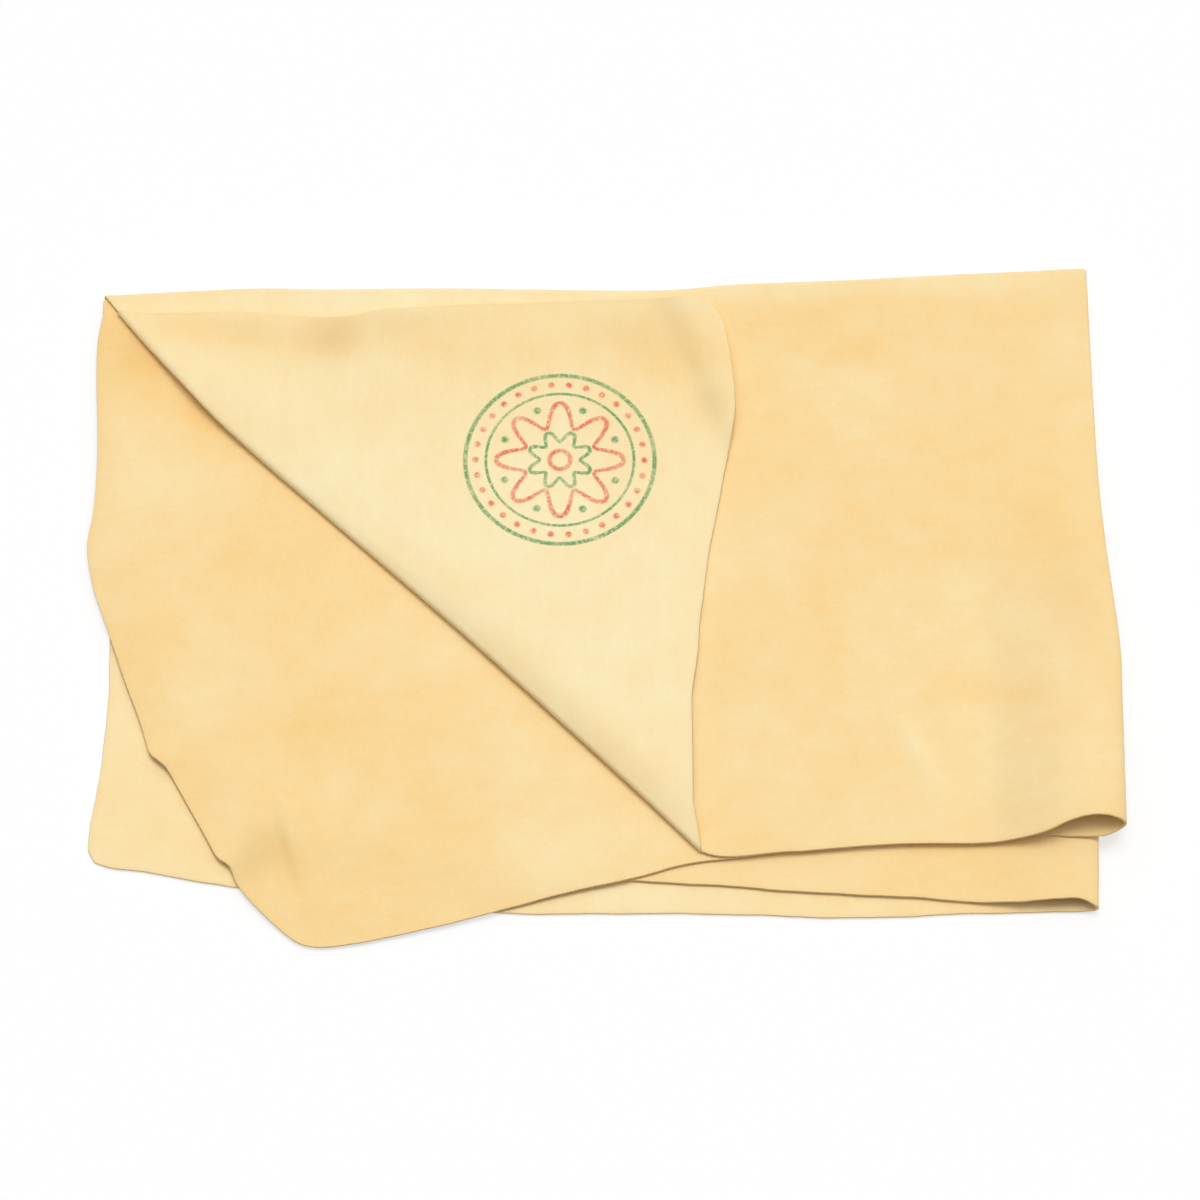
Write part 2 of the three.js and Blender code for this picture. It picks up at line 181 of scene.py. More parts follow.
fold_start = np.array([-WIDTH / 2, DEPTH / 2 - BACK_SKEW / 2])
fold_along = np.array([np.cos(CORNER_ANGLE), -np.sin(CORNER_ANGLE)])
fold_inward = np.array([np.sin(CORNER_ANGLE), np.cos(CORNER_ANGLE)])
fold_end_y = -97.8
fold_end_x = fold_start[0] + (fold_start[1] - fold_end_y) / np.tan(CORNER_ANGLE)


def beside_fold(inset, run):
    """A place in the plan: inset millimetres in from the corner's fold, and run millimetres along it."""
    inset, run = np.broadcast_arrays(inset, run)
    return fold_start + inset[..., None] * fold_inward + run[..., None] * fold_along


def run_to_back(inset, in_front):
    """The run at which a line beside the corner's fold is in_front millimetres in front of the back fold.

    Each pass moves the run on by about half of what is left to go.
    """
    run = np.zeros(np.broadcast(inset, in_front).shape)
    for _ in range(SEARCH_PASSES):
        place = beside_fold(inset, run)
        run = run + (place[..., 1] - back_line(place[..., 0]) + in_front) / (fold_along[0] + fold_inward[0])
    return run


print("corner's fold ends at", round(float(fold_end_x), 1), fold_end_y)

# %% [markdown]
# ## How high the leather lies
#
# Each leaf lies on the one below, one skin and a sliver of air higher. A side fold is a hairpin: flat
# where it is pressed, and a teardrop loop where it springs open at the front. The leaves above the lower
# loop bridge it. On top of that comes a gentle relief of hollows and swellings, a little more of it on each
# higher leaf, so leaves never pass through each other.

# %% Heights of the leaves
TEARDROP_PEAK = 2 * np.sin(np.pi / 3) ** 3 * np.cos(np.pi / 3)
PEAK_INSET = 0.25
SETTLED = 0.35
RELIEF_OF_LEAF = np.array([0.0, 0.3, 0.6, 1.0, 1.15])


def loop_opening(inset, height, length):
    """A teardrop: height x sin(a) x sin^2(a/2), over its peak, where a runs from pi at the nose to 0."""
    turn = np.arccos(np.clip(2 * inset / length - 1, -1, 1))
    return height * np.sin(turn) * np.sin(turn / 2) ** 2 / TEARDROP_PEAK


def hairpin(inset, opening, length, nose_share):
    """How far the lower leaf rises at an inset from the nose, and how far above it the upper leaf is."""

    def apart_at(place):
        nose = 1 - np.clip(place / (PITCH / 2), 0, 1)
        return PITCH * np.sqrt(1 - nose * nose) + loop_opening(place, opening, length)

    rise = nose_share * (PITCH + opening - apart_at(np.minimum(inset, PEAK_INSET * length)))
    return rise, apart_at(inset)


def loop_share(y):
    """How far the side loops are open: closed at the back, open at the front."""
    return smooth_step(share_to_front(y), 0.1, 0.95)


def nose_share_at(y):
    """How high a loop's nose is, as a share of its height: half where pressed, a little less where open."""
    return 0.5 - 0.05 * loop_share(y)


def relief(x, y):
    """Hollows and swellings of up to about a millimetre, which fade out at the side folds."""
    waves = (
        np.sin(0.031 * x + 0.018 * y + 0.6)
        + np.sin(-0.022 * x + 0.041 * y + 2.1)
        + 0.7 * np.sin(0.058 * x - 0.027 * y + 4.0)
        + 0.5 * np.sin(0.035 * x + 0.083 * y + 1.3)
    )
    return (0.75 + 0.22 * waves) * smooth_step(WIDTH / 2 - x, 8.0, 70.0)


def lift_on_lower_loop(x, y):
    """The lower loop's opening, held at its fullest past that, because the upper leaves bridge it."""
    fullest = lower_nose(y) - PEAK_INSET * LOOP_LENGTH
    return loop_opening(lower_nose(y) - np.minimum(x, fullest), LOWER_LOOP * loop_share(y), LOOP_LENGTH)


def lower_pair(x, y):
    """The middle heights of the bottom leaf and of the third leaf."""
    inset = np.clip(lower_nose(y) - half - x, 0, None)
    rise, apart = hairpin(inset, LOWER_LOOP * loop_share(y), LOOP_LENGTH, nose_share_at(y))
    bottom = level[0] + rise
    return bottom, bottom + apart + RELIEF_OF_LEAF[1] * relief(x, y)


def settles(x, y):
    """How far the top leaf gives up its relief along its front edge, where it lies close on the next one."""
    near_front = smooth_step(share_to_front(y), 0.8, 0.9)
    return SETTLED * relief(x, y) * near_front * (1 - smooth_step(x, 110.0, 150.0))


def upper_pair(x, y):
    """The middle heights of the second leaf and of the top leaf."""
    inset = np.clip(upper_nose(y) - half - x, 0, None)
    rise, apart = hairpin(inset, UPPER_LOOP * loop_share(y), LOOP_LENGTH, nose_share_at(y))
    second = level[2] + lift_on_lower_loop(x, y) + rise
    top = second + apart + RELIEF_OF_LEAF[3] * relief(x, y) - settles(x, y)
    return second + RELIEF_OF_LEAF[2] * relief(x, y), top


# %% [markdown]
# ## From a surface to leather
#
# A sheet of leather is its middle surface with half a skin added on each side, square to it. The two
# faces are joined round the rim by a slightly swollen cut edge. Each point also keeps three things for the
# finish: its place on the flat skin, so that marks run on over a fold, its tone, which is how pale the skin
# is there with some painted shade and light mixed in, and how near it is to a cut edge.

# %% A closed sheet over a middle surface
RIM_SWELL = 0.22
FACE_TINT = 0.22
FRONT_ROW, FIRST_COLUMN, LAST_COLUMN = np.s_[-1], np.s_[:, 0], np.s_[:, -1]


def on_points(over, under):
    """One value a point: those of the over side's grid, of the under side's, and the rim's between them."""
    rows, columns = over.shape[:2]
    spot = np.arange(rows * columns).reshape(rows, columns)
    rim = np.concatenate([spot[0, :-1], spot[:-1, -1], spot[-1, :0:-1], spot[:0:-1, 0]])
    over, under = over.reshape(spot.size, -1), under.reshape(spot.size, -1)
    return np.concatenate([over, under, (over[rim] + under[rim]) / 2]), spot, rim


def keep(piece, label, values):
    """Stores an attribute on a piece's points: a vector for three values a point, else a number."""
    kind, field = ("FLOAT_VECTOR", "vector") if values.shape[-1] == 3 else ("FLOAT", "value")
    attribute = piece.data.attributes.new(label, kind, "POINT")
    attribute.data.foreach_set(field, values.astype(np.float32).ravel())


def raised(plan, height):
    """A plan with its heights, or any pair of values a point with a third one."""
    return np.concatenate([plan, height[..., None]], -1)


def placed(name, data):
    """A new object in the scene, at the origin."""
    thing = bpy.data.objects.new(name, data)
    scene.collection.objects.link(thing)
    return thing


def leather_sheet(name, middle, flat_place, tone_over, tone_under, cut):
    """Two faces at middle +- half a skin along its normal, and a rim that swells where the edge is cut."""
    square = np.cross(np.gradient(middle, axis=1), np.gradient(middle, axis=0))
    square /= np.linalg.norm(square, axis=2, keepdims=True)
    points, spot, rim = on_points(middle + half * square, middle - half * square)
    on_rim = middle.reshape(-1, 3)[rim]
    outward = np.cross(np.roll(on_rim, -1, 0) - np.roll(on_rim, 1, 0), square.reshape(-1, 3)[rim])
    outward /= np.linalg.norm(outward, axis=1, keepdims=True) + 1e-9
    points[2 * spot.size:] += RIM_SWELL * cut.reshape(-1)[rim][:, None] * outward
    points = (points + shift) / 1000

    edge = 2 * spot.size + np.arange(rim.size)
    after, edge_after = np.roll(rim, -1), np.roll(edge, -1)
    quads = np.stack([spot[:-1, :-1], spot[:-1, 1:], spot[1:, 1:], spot[1:, :-1]], -1).reshape(-1, 4)
    faces = np.concatenate([
        quads,
        quads[:, ::-1] + spot.size,
        np.stack([rim, edge, edge_after, after], -1),
        np.stack([edge, rim + spot.size, after + spot.size, edge_after], -1),
    ])
    mesh = bpy.data.meshes.new(name)
    mesh.from_pydata(points.tolist(), [], faces.tolist())
    mesh.polygons.foreach_set("use_smooth", np.ones(len(faces), bool))
    mesh.set_sharp_from_angle(angle=np.radians(38))
    piece = placed(name, mesh)

    side = np.ones(middle.shape[:2])
    keep(piece, "skin_place", on_points(raised(flat_place, side), raised(flat_place, -side))[0])
    keep(piece, "tone", on_points(tone_over, tone_under)[0])
    cut_share = on_points(FACE_TINT * cut, FACE_TINT * cut)[0]
    cut_share[2 * spot.size:] /= FACE_TINT
    keep(piece, "cut_edge", cut_share)
    step_down, step_across = np.diff(middle, axis=0)[:, 1:], np.diff(middle, axis=1)[1:]
    area = np.linalg.norm(np.cross(step_down, step_across), axis=2).sum() / 1e6
    print(name, len(points), "points", len(faces), "faces", round(area, 4), "square metres")
    return piece


def cut_edges(middle, *edges):
    """1 along the given edges of a grid, which are cut, and 0 on the rest of it."""
    cut = np.zeros(middle.shape[:2])
    for edge in edges:
        cut[edge] = 1
    return cut


# %% [markdown]
# ## Laying out a leaf
#
# A leaf has four edges: the back fold, the front cut, the side fold's nose and the left cut. A Coons patch
# fills any four such lines with an even grid: it adds the two ways of joining opposite edges and takes away
# what they count twice. Columns crowd together at the nose, where the leather turns right over.

# %% A grid inside four edges
ROWS = 131
FOLD_COLUMNS = 22
FOLD_CROWD = 20.0


def column_shares(length, columns):
    """Shares of a length: crowded by a square law within FOLD_CROWD of the nose, and even after it."""
    crowd = FOLD_CROWD * np.linspace(0, 1, FOLD_COLUMNS + 1) ** 2
    rest = np.linspace(FOLD_CROWD, length, columns - FOLD_COLUMNS)[1:]
    return np.concatenate([crowd, rest]) / length


def coons_patch(back, front, first, last, weight, along):
    """Join back to front, add first column to last, and take away the corners that both have counted."""
    along, weight = along[:, None, None], weight[..., None]
    joined = (1 - along) * back[None] + along * front[None]
    joined = joined + (1 - weight) * first[:, None] + weight * last[:, None]
    twice = (1 - along) * ((1 - weight) * back[0] + weight * back[-1])
    twice = twice + along * ((1 - weight) * front[0] + weight * front[-1])
    return joined - twice


def leaf_plan(nose, nose_front, front_line, left_line, columns):
    """The plan of a leaf, rows from back to front and columns from the side fold's nose to the left."""
    along = np.linspace(0, 1, ROWS)
    back_x = np.linspace(nose(LEAF_BACK) - half, left_line[0, 0], 400)
    back = np.stack([back_x, back_line(back_x) - BACK_REACH], -1)
    right_y = np.linspace(back[0, 1], nose_front, 400)
    right = np.stack([nose(right_y) - half, right_y], -1)
    front = np.concatenate([right[-1:], front_line])
    back_shares = column_shares(run_along(back)[-1], columns)
    front_shares = column_shares(run_along(front)[-1], columns)
    weight = (1 - along[:, None]) * back_shares + along[:, None] * front_shares
    return coons_patch(
        at_shares(back, back_shares), at_shares(front, front_shares),
        at_shares(right, along), at_shares(left_line, along), weight, along,
    )


def front_points(pairs):
    """Points of a front edge from pairs of share of the width and inset from the front, right to left."""
    pairs = np.asarray(pairs, float)[::-1]
    return np.stack([(pairs[:, 0] - 0.5) * WIDTH, pairs[:, 1] - DEPTH / 2], -1)


def left_points(pairs, corner):
    """Points of a left edge from pairs of share of the depth and inset from the left, back to front."""
    pairs = np.asarray(pairs, float)
    points = np.stack([pairs[:, 1] - WIDTH / 2, DEPTH / 2 - pairs[:, 0] * DEPTH], -1)
    points[0, 1] = back_line(points[0, 0]) - BACK_REACH
    return np.concatenate([points, [corner]])


def joined_at_nose(first, second):
    """Two grids that run from the nose outwards, as one that runs in to the nose and out again."""
    return np.concatenate([first[:, :0:-1], second], axis=1)


def flat_skin(plan, nose, right_side, back_side):
    """Places on the flat skin, in metres from where the two folds cross: a leaf is mirrored in each fold."""
    across = right_side * (nose(plan[..., 1]) - plan[..., 0])
    down = back_side * (back_line(plan[..., 0]) - plan[..., 1])
    return np.stack([across, down], -1) / 1000


# %% [markdown]
# ## Where the skin is deep and where it is pale
#
# Oil tanning never colours a hide evenly. The broad patches that one sees from a step away are put down
# here, as listed soft spots on the even tone of a leaf; some of the spots are painted shade and light
# instead. Shade is also painted on in the same way, darkening the skin in hollows, in the loops and along
# soft wrinkles. Finer mottling comes later, from the material's noise.

# %% Tones of a leaf
def soft_spot(x, y, at, spread, turn=0.0):
    """A bell, 1 at a place, that falls off over a spread along and across a direction turned in degrees."""
    a = np.radians(turn)
    dx, dy = x - at[0], y - at[1]
    along, across = dx * np.cos(a) + dy * np.sin(a), dy * np.cos(a) - dx * np.sin(a)
    return np.exp(-((along / spread[0]) ** 2) - (across / spread[1]) ** 2)


def tone_of(plan, even, spots=()):
    """An even tone with soft spots added: each has its place, spread, turn and amount, pale above 0."""
    x, y = plan[..., 0], plan[..., 1]
    tone = np.full(x.shape, float(even))
    for *at, long, wide, turn, amount in spots:
        tone += amount * soft_spot(x, y, at, (long, wide), turn)
    return tone


# %% [markdown]
# ## The lower leaves
#
# The bottom leaf lies on the table with its paler side up, and shows at the lower left and as a strip along
# the front. The third leaf lies on it. One side fold joins them, so both are one mesh: it runs along the
# third leaf to the nose, and back along the bottom leaf.

# %% The lower leaves and their side fold
BOTTOM_FRONT = [
    (0.018, 18), (0.035, 16), (0.075, 14), (0.16, 9), (0.41, 0),
    (0.57, 0), (0.7, -1.5), (0.8, -1.2), (0.93, 0.4),
]
BOTTOM_LEFT = [(0.07, 1), (0.25, 4), (0.46, 6), (0.61, 8), (0.77, 7), (0.89, 4), (0.91, 4.5)]
THIRD_FRONT = [
    (0.17, 40), (0.28, 26), (0.42, 15), (0.54, 11), (0.66, 8.1),
    (0.88, 3.0), (0.92, 2.8), (0.945, 3.1), (0.965, 3.0),
]
THIRD_LEFT = [(0.07, 2), (0.27, 8), (0.5, 16), (0.68, 32)]
LOWER_NOSE_FRONT = np.array([lower_nose(-118.5) - half, -118.5])
LEAF_COLUMNS = 161


def edges_of_leaf(front_pairs, left_pairs, nose_front, seed):
    """A leaf's front edge from the nose to its corner, and its left edge from the back to that corner."""
    points = front_points(front_pairs)
    front = hand_cut(smooth_line([nose_front, *points]), seed)
    left = hand_cut(smooth_line(left_points(left_pairs, points[-1])), seed + 1)
    return front, left


bottom_front, bottom_left = edges_of_leaf(BOTTOM_FRONT, BOTTOM_LEFT, LOWER_NOSE_FRONT, 3)
third_front, third_left = edges_of_leaf(THIRD_FRONT, THIRD_LEFT, LOWER_NOSE_FRONT, 5)
bottom_plan = leaf_plan(lower_nose, LOWER_NOSE_FRONT[1], bottom_front[1:], bottom_left, LEAF_COLUMNS)
third_plan = leaf_plan(lower_nose, LOWER_NOSE_FRONT[1], third_front[1:], third_left, LEAF_COLUMNS)
bottom = raised(bottom_plan, lower_pair(bottom_plan[..., 0], bottom_plan[..., 1])[0])
third = raised(third_plan, lower_pair(third_plan[..., 0], third_plan[..., 1])[1])

lower_middle = joined_at_nose(third, bottom)
lower_flat = joined_at_nose(
    flat_skin(third_plan, lower_nose, 1, 1), flat_skin(bottom_plan, lower_nose, -1, 1)
)
front_swing = float(np.ptp(third[-1, :, 2]))
print("third leaf's front edge swings through", round(front_swing, 1), "mm of height")

# %% Tones and painted shade of the lower leaves, and the leaves as one sheet
# Painted shade on the bottom leaf in the mouth of the lower loop, where the third leaf shades it
SHADE_IN_LOWER_LOOP = [(159, -112.5, 17, 5, 0, 0.6)]

facing_in = joined_at_nose(
    tone_of(third_plan, 0.6),
    tone_of(bottom_plan, 0.66, [(-150, -108, 30, 14, 0, -0.08), (120, -118, 60, 10, 0, -0.1)]),
)
facing_out = joined_at_nose(
    tone_of(third_plan, 0.36, [(150, -112, 40, 20, 0, -0.06), (60, -110, 30, 8, 0, 0.06)]),
    tone_of(bottom_plan, 0.4),
)
lower_leaves = leather_sheet(
    "chamois_lower_leaves", lower_middle, lower_flat, facing_in, facing_out,
    cut_edges(lower_middle, FRONT_ROW, FIRST_COLUMN, LAST_COLUMN),
)
# The painted shade of the lower loop, kept on the points as a share
shade_in = joined_at_nose(*(tone_of(plan, 0, SHADE_IN_LOWER_LOOP) for plan in (third_plan, bottom_plan)))
keep(lower_leaves, "painted_shade", on_points(shade_in, 0 * shade_in)[0])

# %% [markdown]
# ## The upper leaves
#
# The second leaf shows at the left, where the corner is turned back. Past the edges of the leaves below, it
# sinks on to the next one down, and its loose corner sinks on to the table. Its left edge has two small
# kinks, where the skin was nicked and stands up a little. The top leaf ends at the corner's fold.

# %% The second leaf's edges, and how far it reaches past the leaves below
SECOND_LEFT = [
    (-174.6, back_line(-174.6) - BACK_REACH), (-175.9, 94.7), (-175.5, 78.7), (-174.0, 55.0), (-174.1, 31.5),
    (-175.8, 16.0), (-173.1, 0.7), (-169.9, -8.8), (-164.4, -23.9), (-160.5, -35.0), (-154.9, -49.5),
    (-151.3, -60.6), (-150.2, -63.0), (-147.4, -65.4), (-144.6, -68.0), (-141.7, -72.8), (-136.6, -81.9),
    (-131.1, -91.7), (-126.8, -99.6), (-124.4, -101.8), (-122.0, -103.6), (-119.4, -109.7), (-113.5, -116.9),
    (-106.6, -123.7), (-100.8, -128.6), (-96.5, -130.8), (-91.4, -131.5),
]
SECOND_FRONT = [
    (171, -94.0), (160, -94.4), (150, -93.7), (136, -93.8), (102, -94.9), (69, -97.6), (50.2, -100.2),
    (31.8, -102.7), (15.0, -107.0), (-11.7, -113.2), (-31.7, -119.0), (-61.6, -126.3), (-78.1, -129.8),
    (-86.4, -131.2),
]
UPPER_NOSE_FRONT = np.array([upper_nose(-91.5) - half, -91.5])
NICK = np.array([-147.5, -65.5])
KINK = np.array([-123.5, -102.0])
KINK_RIDGE = np.array([KINK, [-108.0, -83.0]])
CREASE = np.array([[-107.1, -84.2], [-98.5, -112.0]])


def past_edge(plan, line):
    """How far a place is past a leaf's edge: its way from the edge's nearest point, square to the edge."""
    flat = plan.reshape(-1, 2)
    nearest = ((flat[:, None] - line[None]) ** 2).sum(-1).argmin(1)
    gone = ((flat - line[nearest]) * square_to(line)[nearest]).sum(-1)
    return gone.reshape(plan.shape[:2])


def outline(front, left):
    """A leaf's cut edges as one line from the nose round its corner to the back, outside on the left."""
    return at_shares(np.concatenate([front, left[::-1]]), np.linspace(0, 1, 260))


def past_line(plan, line, side):
    """How far places are past a straight line on the given side of it, and how far along it as a share."""
    way = line[1] - line[0]
    length = np.hypot(*way)
    square = side * np.array([-way[1], way[0]]) / length
    return (plan - line[0]) @ square, (plan - line[0]) @ way / length**2


second_left = smooth_line(SECOND_LEFT)
second_front = hand_cut(smooth_line([UPPER_NOSE_FRONT, *SECOND_FRONT, SECOND_LEFT[-1]]), 7, 0.3)
second_plan = leaf_plan(upper_nose, UPPER_NOSE_FRONT[1], second_front[1:], second_left, LEAF_COLUMNS)
second_x, second_y = second_plan[..., 0], second_plan[..., 1]
off_third = past_edge(second_plan, outline(third_front, third_left))
off_bottom = past_edge(second_plan, outline(bottom_front, bottom_left))
print("second leaf reaches past the third by", round(off_third.max(), 1), "mm and past the bottom by",
      round(off_bottom.max(), 1), "mm")

# %% How the second leaf sinks, puckers and stands up
SINK_REACH = 22.0
NICK_HEIGHT = 1.5
KINK_HEIGHT = 0.9
CREASE_HEIGHT = 1.3

from_back = smooth_step(back_line(second_x) - second_y, 8.0, 40.0)
loose = smooth_step(off_third, -2.0, SINK_REACH) * from_back
sunk = loose * (PITCH + 0.5 * RELIEF_OF_LEAF[2] * relief(second_x, second_y))
sunk = sunk + SKIN * smooth_step(off_bottom, 0.0, SINK_REACH)
stands_up = NICK_HEIGHT * soft_spot(second_x, second_y, NICK, (5.5, 7.5), -35)
stands_up += KINK_HEIGHT * soft_spot(second_x, second_y, KINK, (6.0, 6.0))
past_crease, crease_share = past_line(second_plan, CREASE, 1)
ridge = smooth_step(past_crease, -1.0, 1.0) * np.exp(-((past_crease / 16) ** 2))
pucker = CREASE_HEIGHT * ridge * np.exp(-(((crease_share - 0.45) / 0.55) ** 2))
past_kink, kink_share = past_line(second_plan, KINK_RIDGE, -1)
kink_width = np.where(past_kink > 0, 4.0, 11.0)
pucker += KINK_HEIGHT * np.exp(-((past_kink / kink_width) ** 2) - ((kink_share - 0.4) / 0.45) ** 2)
second = raised(second_plan, upper_pair(second_x, second_y)[0] - sunk + stands_up + pucker)
print("second leaf stands up by at most", round(float((stands_up + pucker).max()), 1), "mm")

# %% The top leaf, up to the corner's fold
TOP_FRONT = [(0.79, 22.9), (0.89, 23.2), (0.93, 24.2), (0.954, 27.1), (0.974, 28.8), (0.993, 28.9)]
TOP_COLUMNS = 141
FRONT_DIP = 2.9
FRONT_RISE = 2.0
STREAK = ((110, -64), (16, 4), -64)
STREAK_HEIGHT = 0.5


def run_to_front(inset):
    """The run at which a line beside the corner's fold meets the top leaf's front, which dips and rises."""
    front = fold_end_y - FRONT_DIP * (1 - np.exp(-inset / 1.5))
    front = front + FRONT_RISE * smooth_step(inset, 4.0, CORNER_REACH)
    return (fold_start[1] + inset * fold_inward[1] - front) / np.sin(CORNER_ANGLE)


leaf_runs = np.linspace(run_to_back(CORNER_REACH, BACK_REACH), run_to_front(CORNER_REACH), 400)
top_left = beside_fold(CORNER_REACH, leaf_runs)
top_front = smooth_line([UPPER_NOSE_FRONT, *front_points(TOP_FRONT), top_left[-1]])
top_plan = leaf_plan(upper_nose, UPPER_NOSE_FRONT[1], top_front[1:], top_left, TOP_COLUMNS)
streak = STREAK_HEIGHT * soft_spot(top_plan[..., 0], top_plan[..., 1], *STREAK)
top = raised(top_plan, upper_pair(top_plan[..., 0], top_plan[..., 1])[1] + streak)
print("top leaf ends at the corner's fold at", top_left[-1].round(1))

# %% Tones and painted shade of the upper leaves
# Spots of tone on the top leaf. (137, -55) and (137, 35) are painted light on the slope up to the upper loop
TOP_SPOTS = [
    (78, 50, 22, 18, 20, -0.06),
    (88, 30, 24, 16, -20, -0.1),
    (134, -41, 24, 5, 0, -0.16),
    (110, -64, 18, 4, -64, 0.22),
    (110, 110, 60, 10, 2, -0.08),
    (100, 118, 90, 6, 2, 0.3),
    (137, -55, 16, 45, 0, 0.14),
    (137, 35, 16, 16, 0, 0.1),
    (98, 92, 16, 8, 0, -0.2),
    (160, 0, 14, 34, 8, -0.1),
    (150, -66, 26, 16, 0, 0.1),
    (-90, 112, 110, 9, 2, 0.42),
    (60, -60, 24, 40, 0, 0.06),
    (162, -41, 9, 20, 0, 0.12),
    (166, 99, 8, 18, 0, 0.15),
]
# Spots of tone on the second leaf. (-160, 98) under the roll, (-104, -101) by the crease and (168, -84) in
# the loop are painted shade
SECOND_SPOTS = [
    (-160, 98, 16, 22, -20, -0.34),
    (-140, 66, 22, 9, -45, -0.2),
    (-142, 38, 26, 22, 0, 0.28),
    (-68, -22, 22, 14, 0, 0.14),
    (-133, -46, 16, 18, 0, 0.32),
    (-12, -99, 26, 10, 12, 0.24),
    (-95, -50, 32, 20, -20, -0.14),
    (-155, -10, 14, 26, 0, -0.05),
    (-166, 54, 8, 20, 0, 0.12),
    (-166, 10, 8, 16, 0, 0.08),
    (-122, -84, 10, 14, 0, 0.1),
    (-86, -72, 5, 6, 0, 0.14),
    (-74, -85, 6, 5, 0, 0.14),
    (-104, -101, 5, 14, 25, -0.14),
    (-95, -124, 44, 10, 8, -0.06),
    (-30, -70, 30, 20, 0, 0.08),
    (168, -84, 18, 26, 0, -0.12),
]
# Painted shade: a deeper tone on the top leaf's inner face inside the upper loop
SHADE_TONE_IN_LOOP = (164, -80, 26, 40, 0, -0.55)
# Painted shade where the top leaf rounds down into the upper side fold
TOP_SHADE = [(165, -8, 9, 26, 4, 0.1)]
# Painted shade on the second leaf: under the corner's roll, and in the dent by the kink and crease
SECOND_SHADE = [
    (-158, 97, 13, 14, -30, 0.2),
    (-134, 70, 16, 6, -45, 0.1),
    (-114, -101, 11, 6, 50, 0.22),
    (-105, -99, 4, 9, 20, 0.08),
]
# Painted shade on the top leaf's inner face, deep in the upper loop
SHADE_IN_UPPER_LOOP = (164, -86, 20, 14, 0, 0.4)

# %% The upper leaves as one sheet
upper_middle = joined_at_nose(second, top)
upper_flat = joined_at_nose(
    flat_skin(second_plan, upper_nose, 1, -1), flat_skin(top_plan, upper_nose, -1, -1)
)
facing_out = joined_at_nose(tone_of(second_plan, 0.4), tone_of(top_plan, 0.42, TOP_SPOTS))
facing_in = joined_at_nose(tone_of(second_plan, 0.36, SECOND_SPOTS), tone_of(top_plan, 0.6, [SHADE_TONE_IN_LOOP]))
upper_leaves = leather_sheet(
    "chamois_upper_leaves", upper_middle, upper_flat, facing_out, facing_in,
    cut_edges(upper_middle, FRONT_ROW, FIRST_COLUMN),
)
# The painted shade of the upper leaves, kept on the points as a share
shade_out = joined_at_nose(tone_of(second_plan, 0), tone_of(top_plan, 0, TOP_SHADE))
shade_in = joined_at_nose(tone_of(second_plan, 0, SECOND_SHADE), tone_of(top_plan, 0, [SHADE_IN_UPPER_LOOP]))
keep(upper_leaves, "painted_shade", on_points(shade_out, shade_in)[0])

# %% [markdown]
# ## The back folds
#
# The second fold took both layers at once, so the outer layer goes round the inner one, and the side fold
# that joins them goes round with them and closes the right end. That is one hairpin carried round a half
# circle: across it runs the hairpin, along it the turn from the lower leaves to the upper ones.

# %% The back folds
TURN_ROWS = 49
ROUND_INSET = 1.5 * PITCH + half
STRAIGHT_SHARE = 0.3
OUTER_LEFT = -174.4
INNER_LEFT = -172.0
INNER_LEAN = 2.6
ROLL_START_SLOPE = 1.36

round_share = 1 - STRAIGHT_SHARE
side = np.linspace(-1, 1, TURN_ROWS)[:, None]
turn = np.clip(side / round_share, -1, 1) * (np.pi / 2)
straight = np.clip(np.abs(side) - round_share, 0, None) / STRAIGHT_SHARE * (BACK_REACH - ROUND_INSET)
up_share = (np.sin(turn) + 1) / 2

nose_run = column_shares(WIDTH, LEAF_COLUMNS) * WIDTH
rise, apart = hairpin(nose_run, 0.0, LOOP_LENGTH, 0.5)
radius = np.concatenate([rise[:0:-1], rise + apart]) + PITCH / 2
outer_half = np.arange(radius.size) >= LEAF_COLUMNS - 1
back_inset = ROUND_INSET + straight - radius * np.cos(turn)

inner_left = INNER_LEFT - INNER_LEAN * up_share
outer_left = OUTER_LEFT + smooth_step(side, 0.0, 0.3) * (back_inset - half) / ROLL_START_SLOPE
left_end = np.where(outer_half, outer_left, inner_left)
run_share = np.concatenate([nose_run[:0:-1], nose_run]) / nose_run[-1]
nose_x = (1 - up_share) * lower_nose(LEAF_BACK) + up_share * upper_nose(LEAF_BACK) - half
back_x = nose_x + run_share * (left_end - nose_x)
back_y = back_line(back_x) - back_inset
relief_lower = np.where(outer_half, RELIEF_OF_LEAF[0], RELIEF_OF_LEAF[1])
relief_upper = np.where(outer_half, RELIEF_OF_LEAF[3], RELIEF_OF_LEAF[2])
back_z = (level[1] + level[2]) / 2 + radius * np.sin(turn)
back_z = back_z + (relief_lower + (relief_upper - relief_lower) * up_share) * relief(back_x, back_y)
back_middle = np.stack([back_x, back_y, back_z], -1)

across = np.where(outer_half, -1, 1) * (WIDTH / 2 - back_x)
back_flat = np.stack([across, -side * (BACK_REACH + 0 * back_x)], -1) / 1000
back_folds = leather_sheet(
    "chamois_back_folds", back_middle, back_flat,
    tone_of(back_middle, 0.42, TOP_SPOTS), tone_of(back_middle, 0.36, SECOND_SPOTS),
    cut_edges(back_middle, FIRST_COLUMN, LAST_COLUMN),
)

# %% [markdown]
# ## The turned corner
#
# The corner of the top leaf goes over a soft roll and lies back on the leaf, paler side up. The roll is the
# same hairpin as a side fold, but its nose bows out of line, most of all a sixth of the way down, and there
# it is also fullest. Past the roll, the corner is another four-sided patch. A soft ridge crosses its tip.

# %% The roll along the corner's fold
ROLL_COLUMNS = 27
TURNED_INSET = 11.5
SIDE_TUCK = 2.5
BOW = smooth_line([
    (0, 1.5), (0.08, 3.9), (0.18, 6.0), (0.27, 5.5), (0.4, 3.7), (0.62, 1.2), (0.86, 0), (1, 0),
])

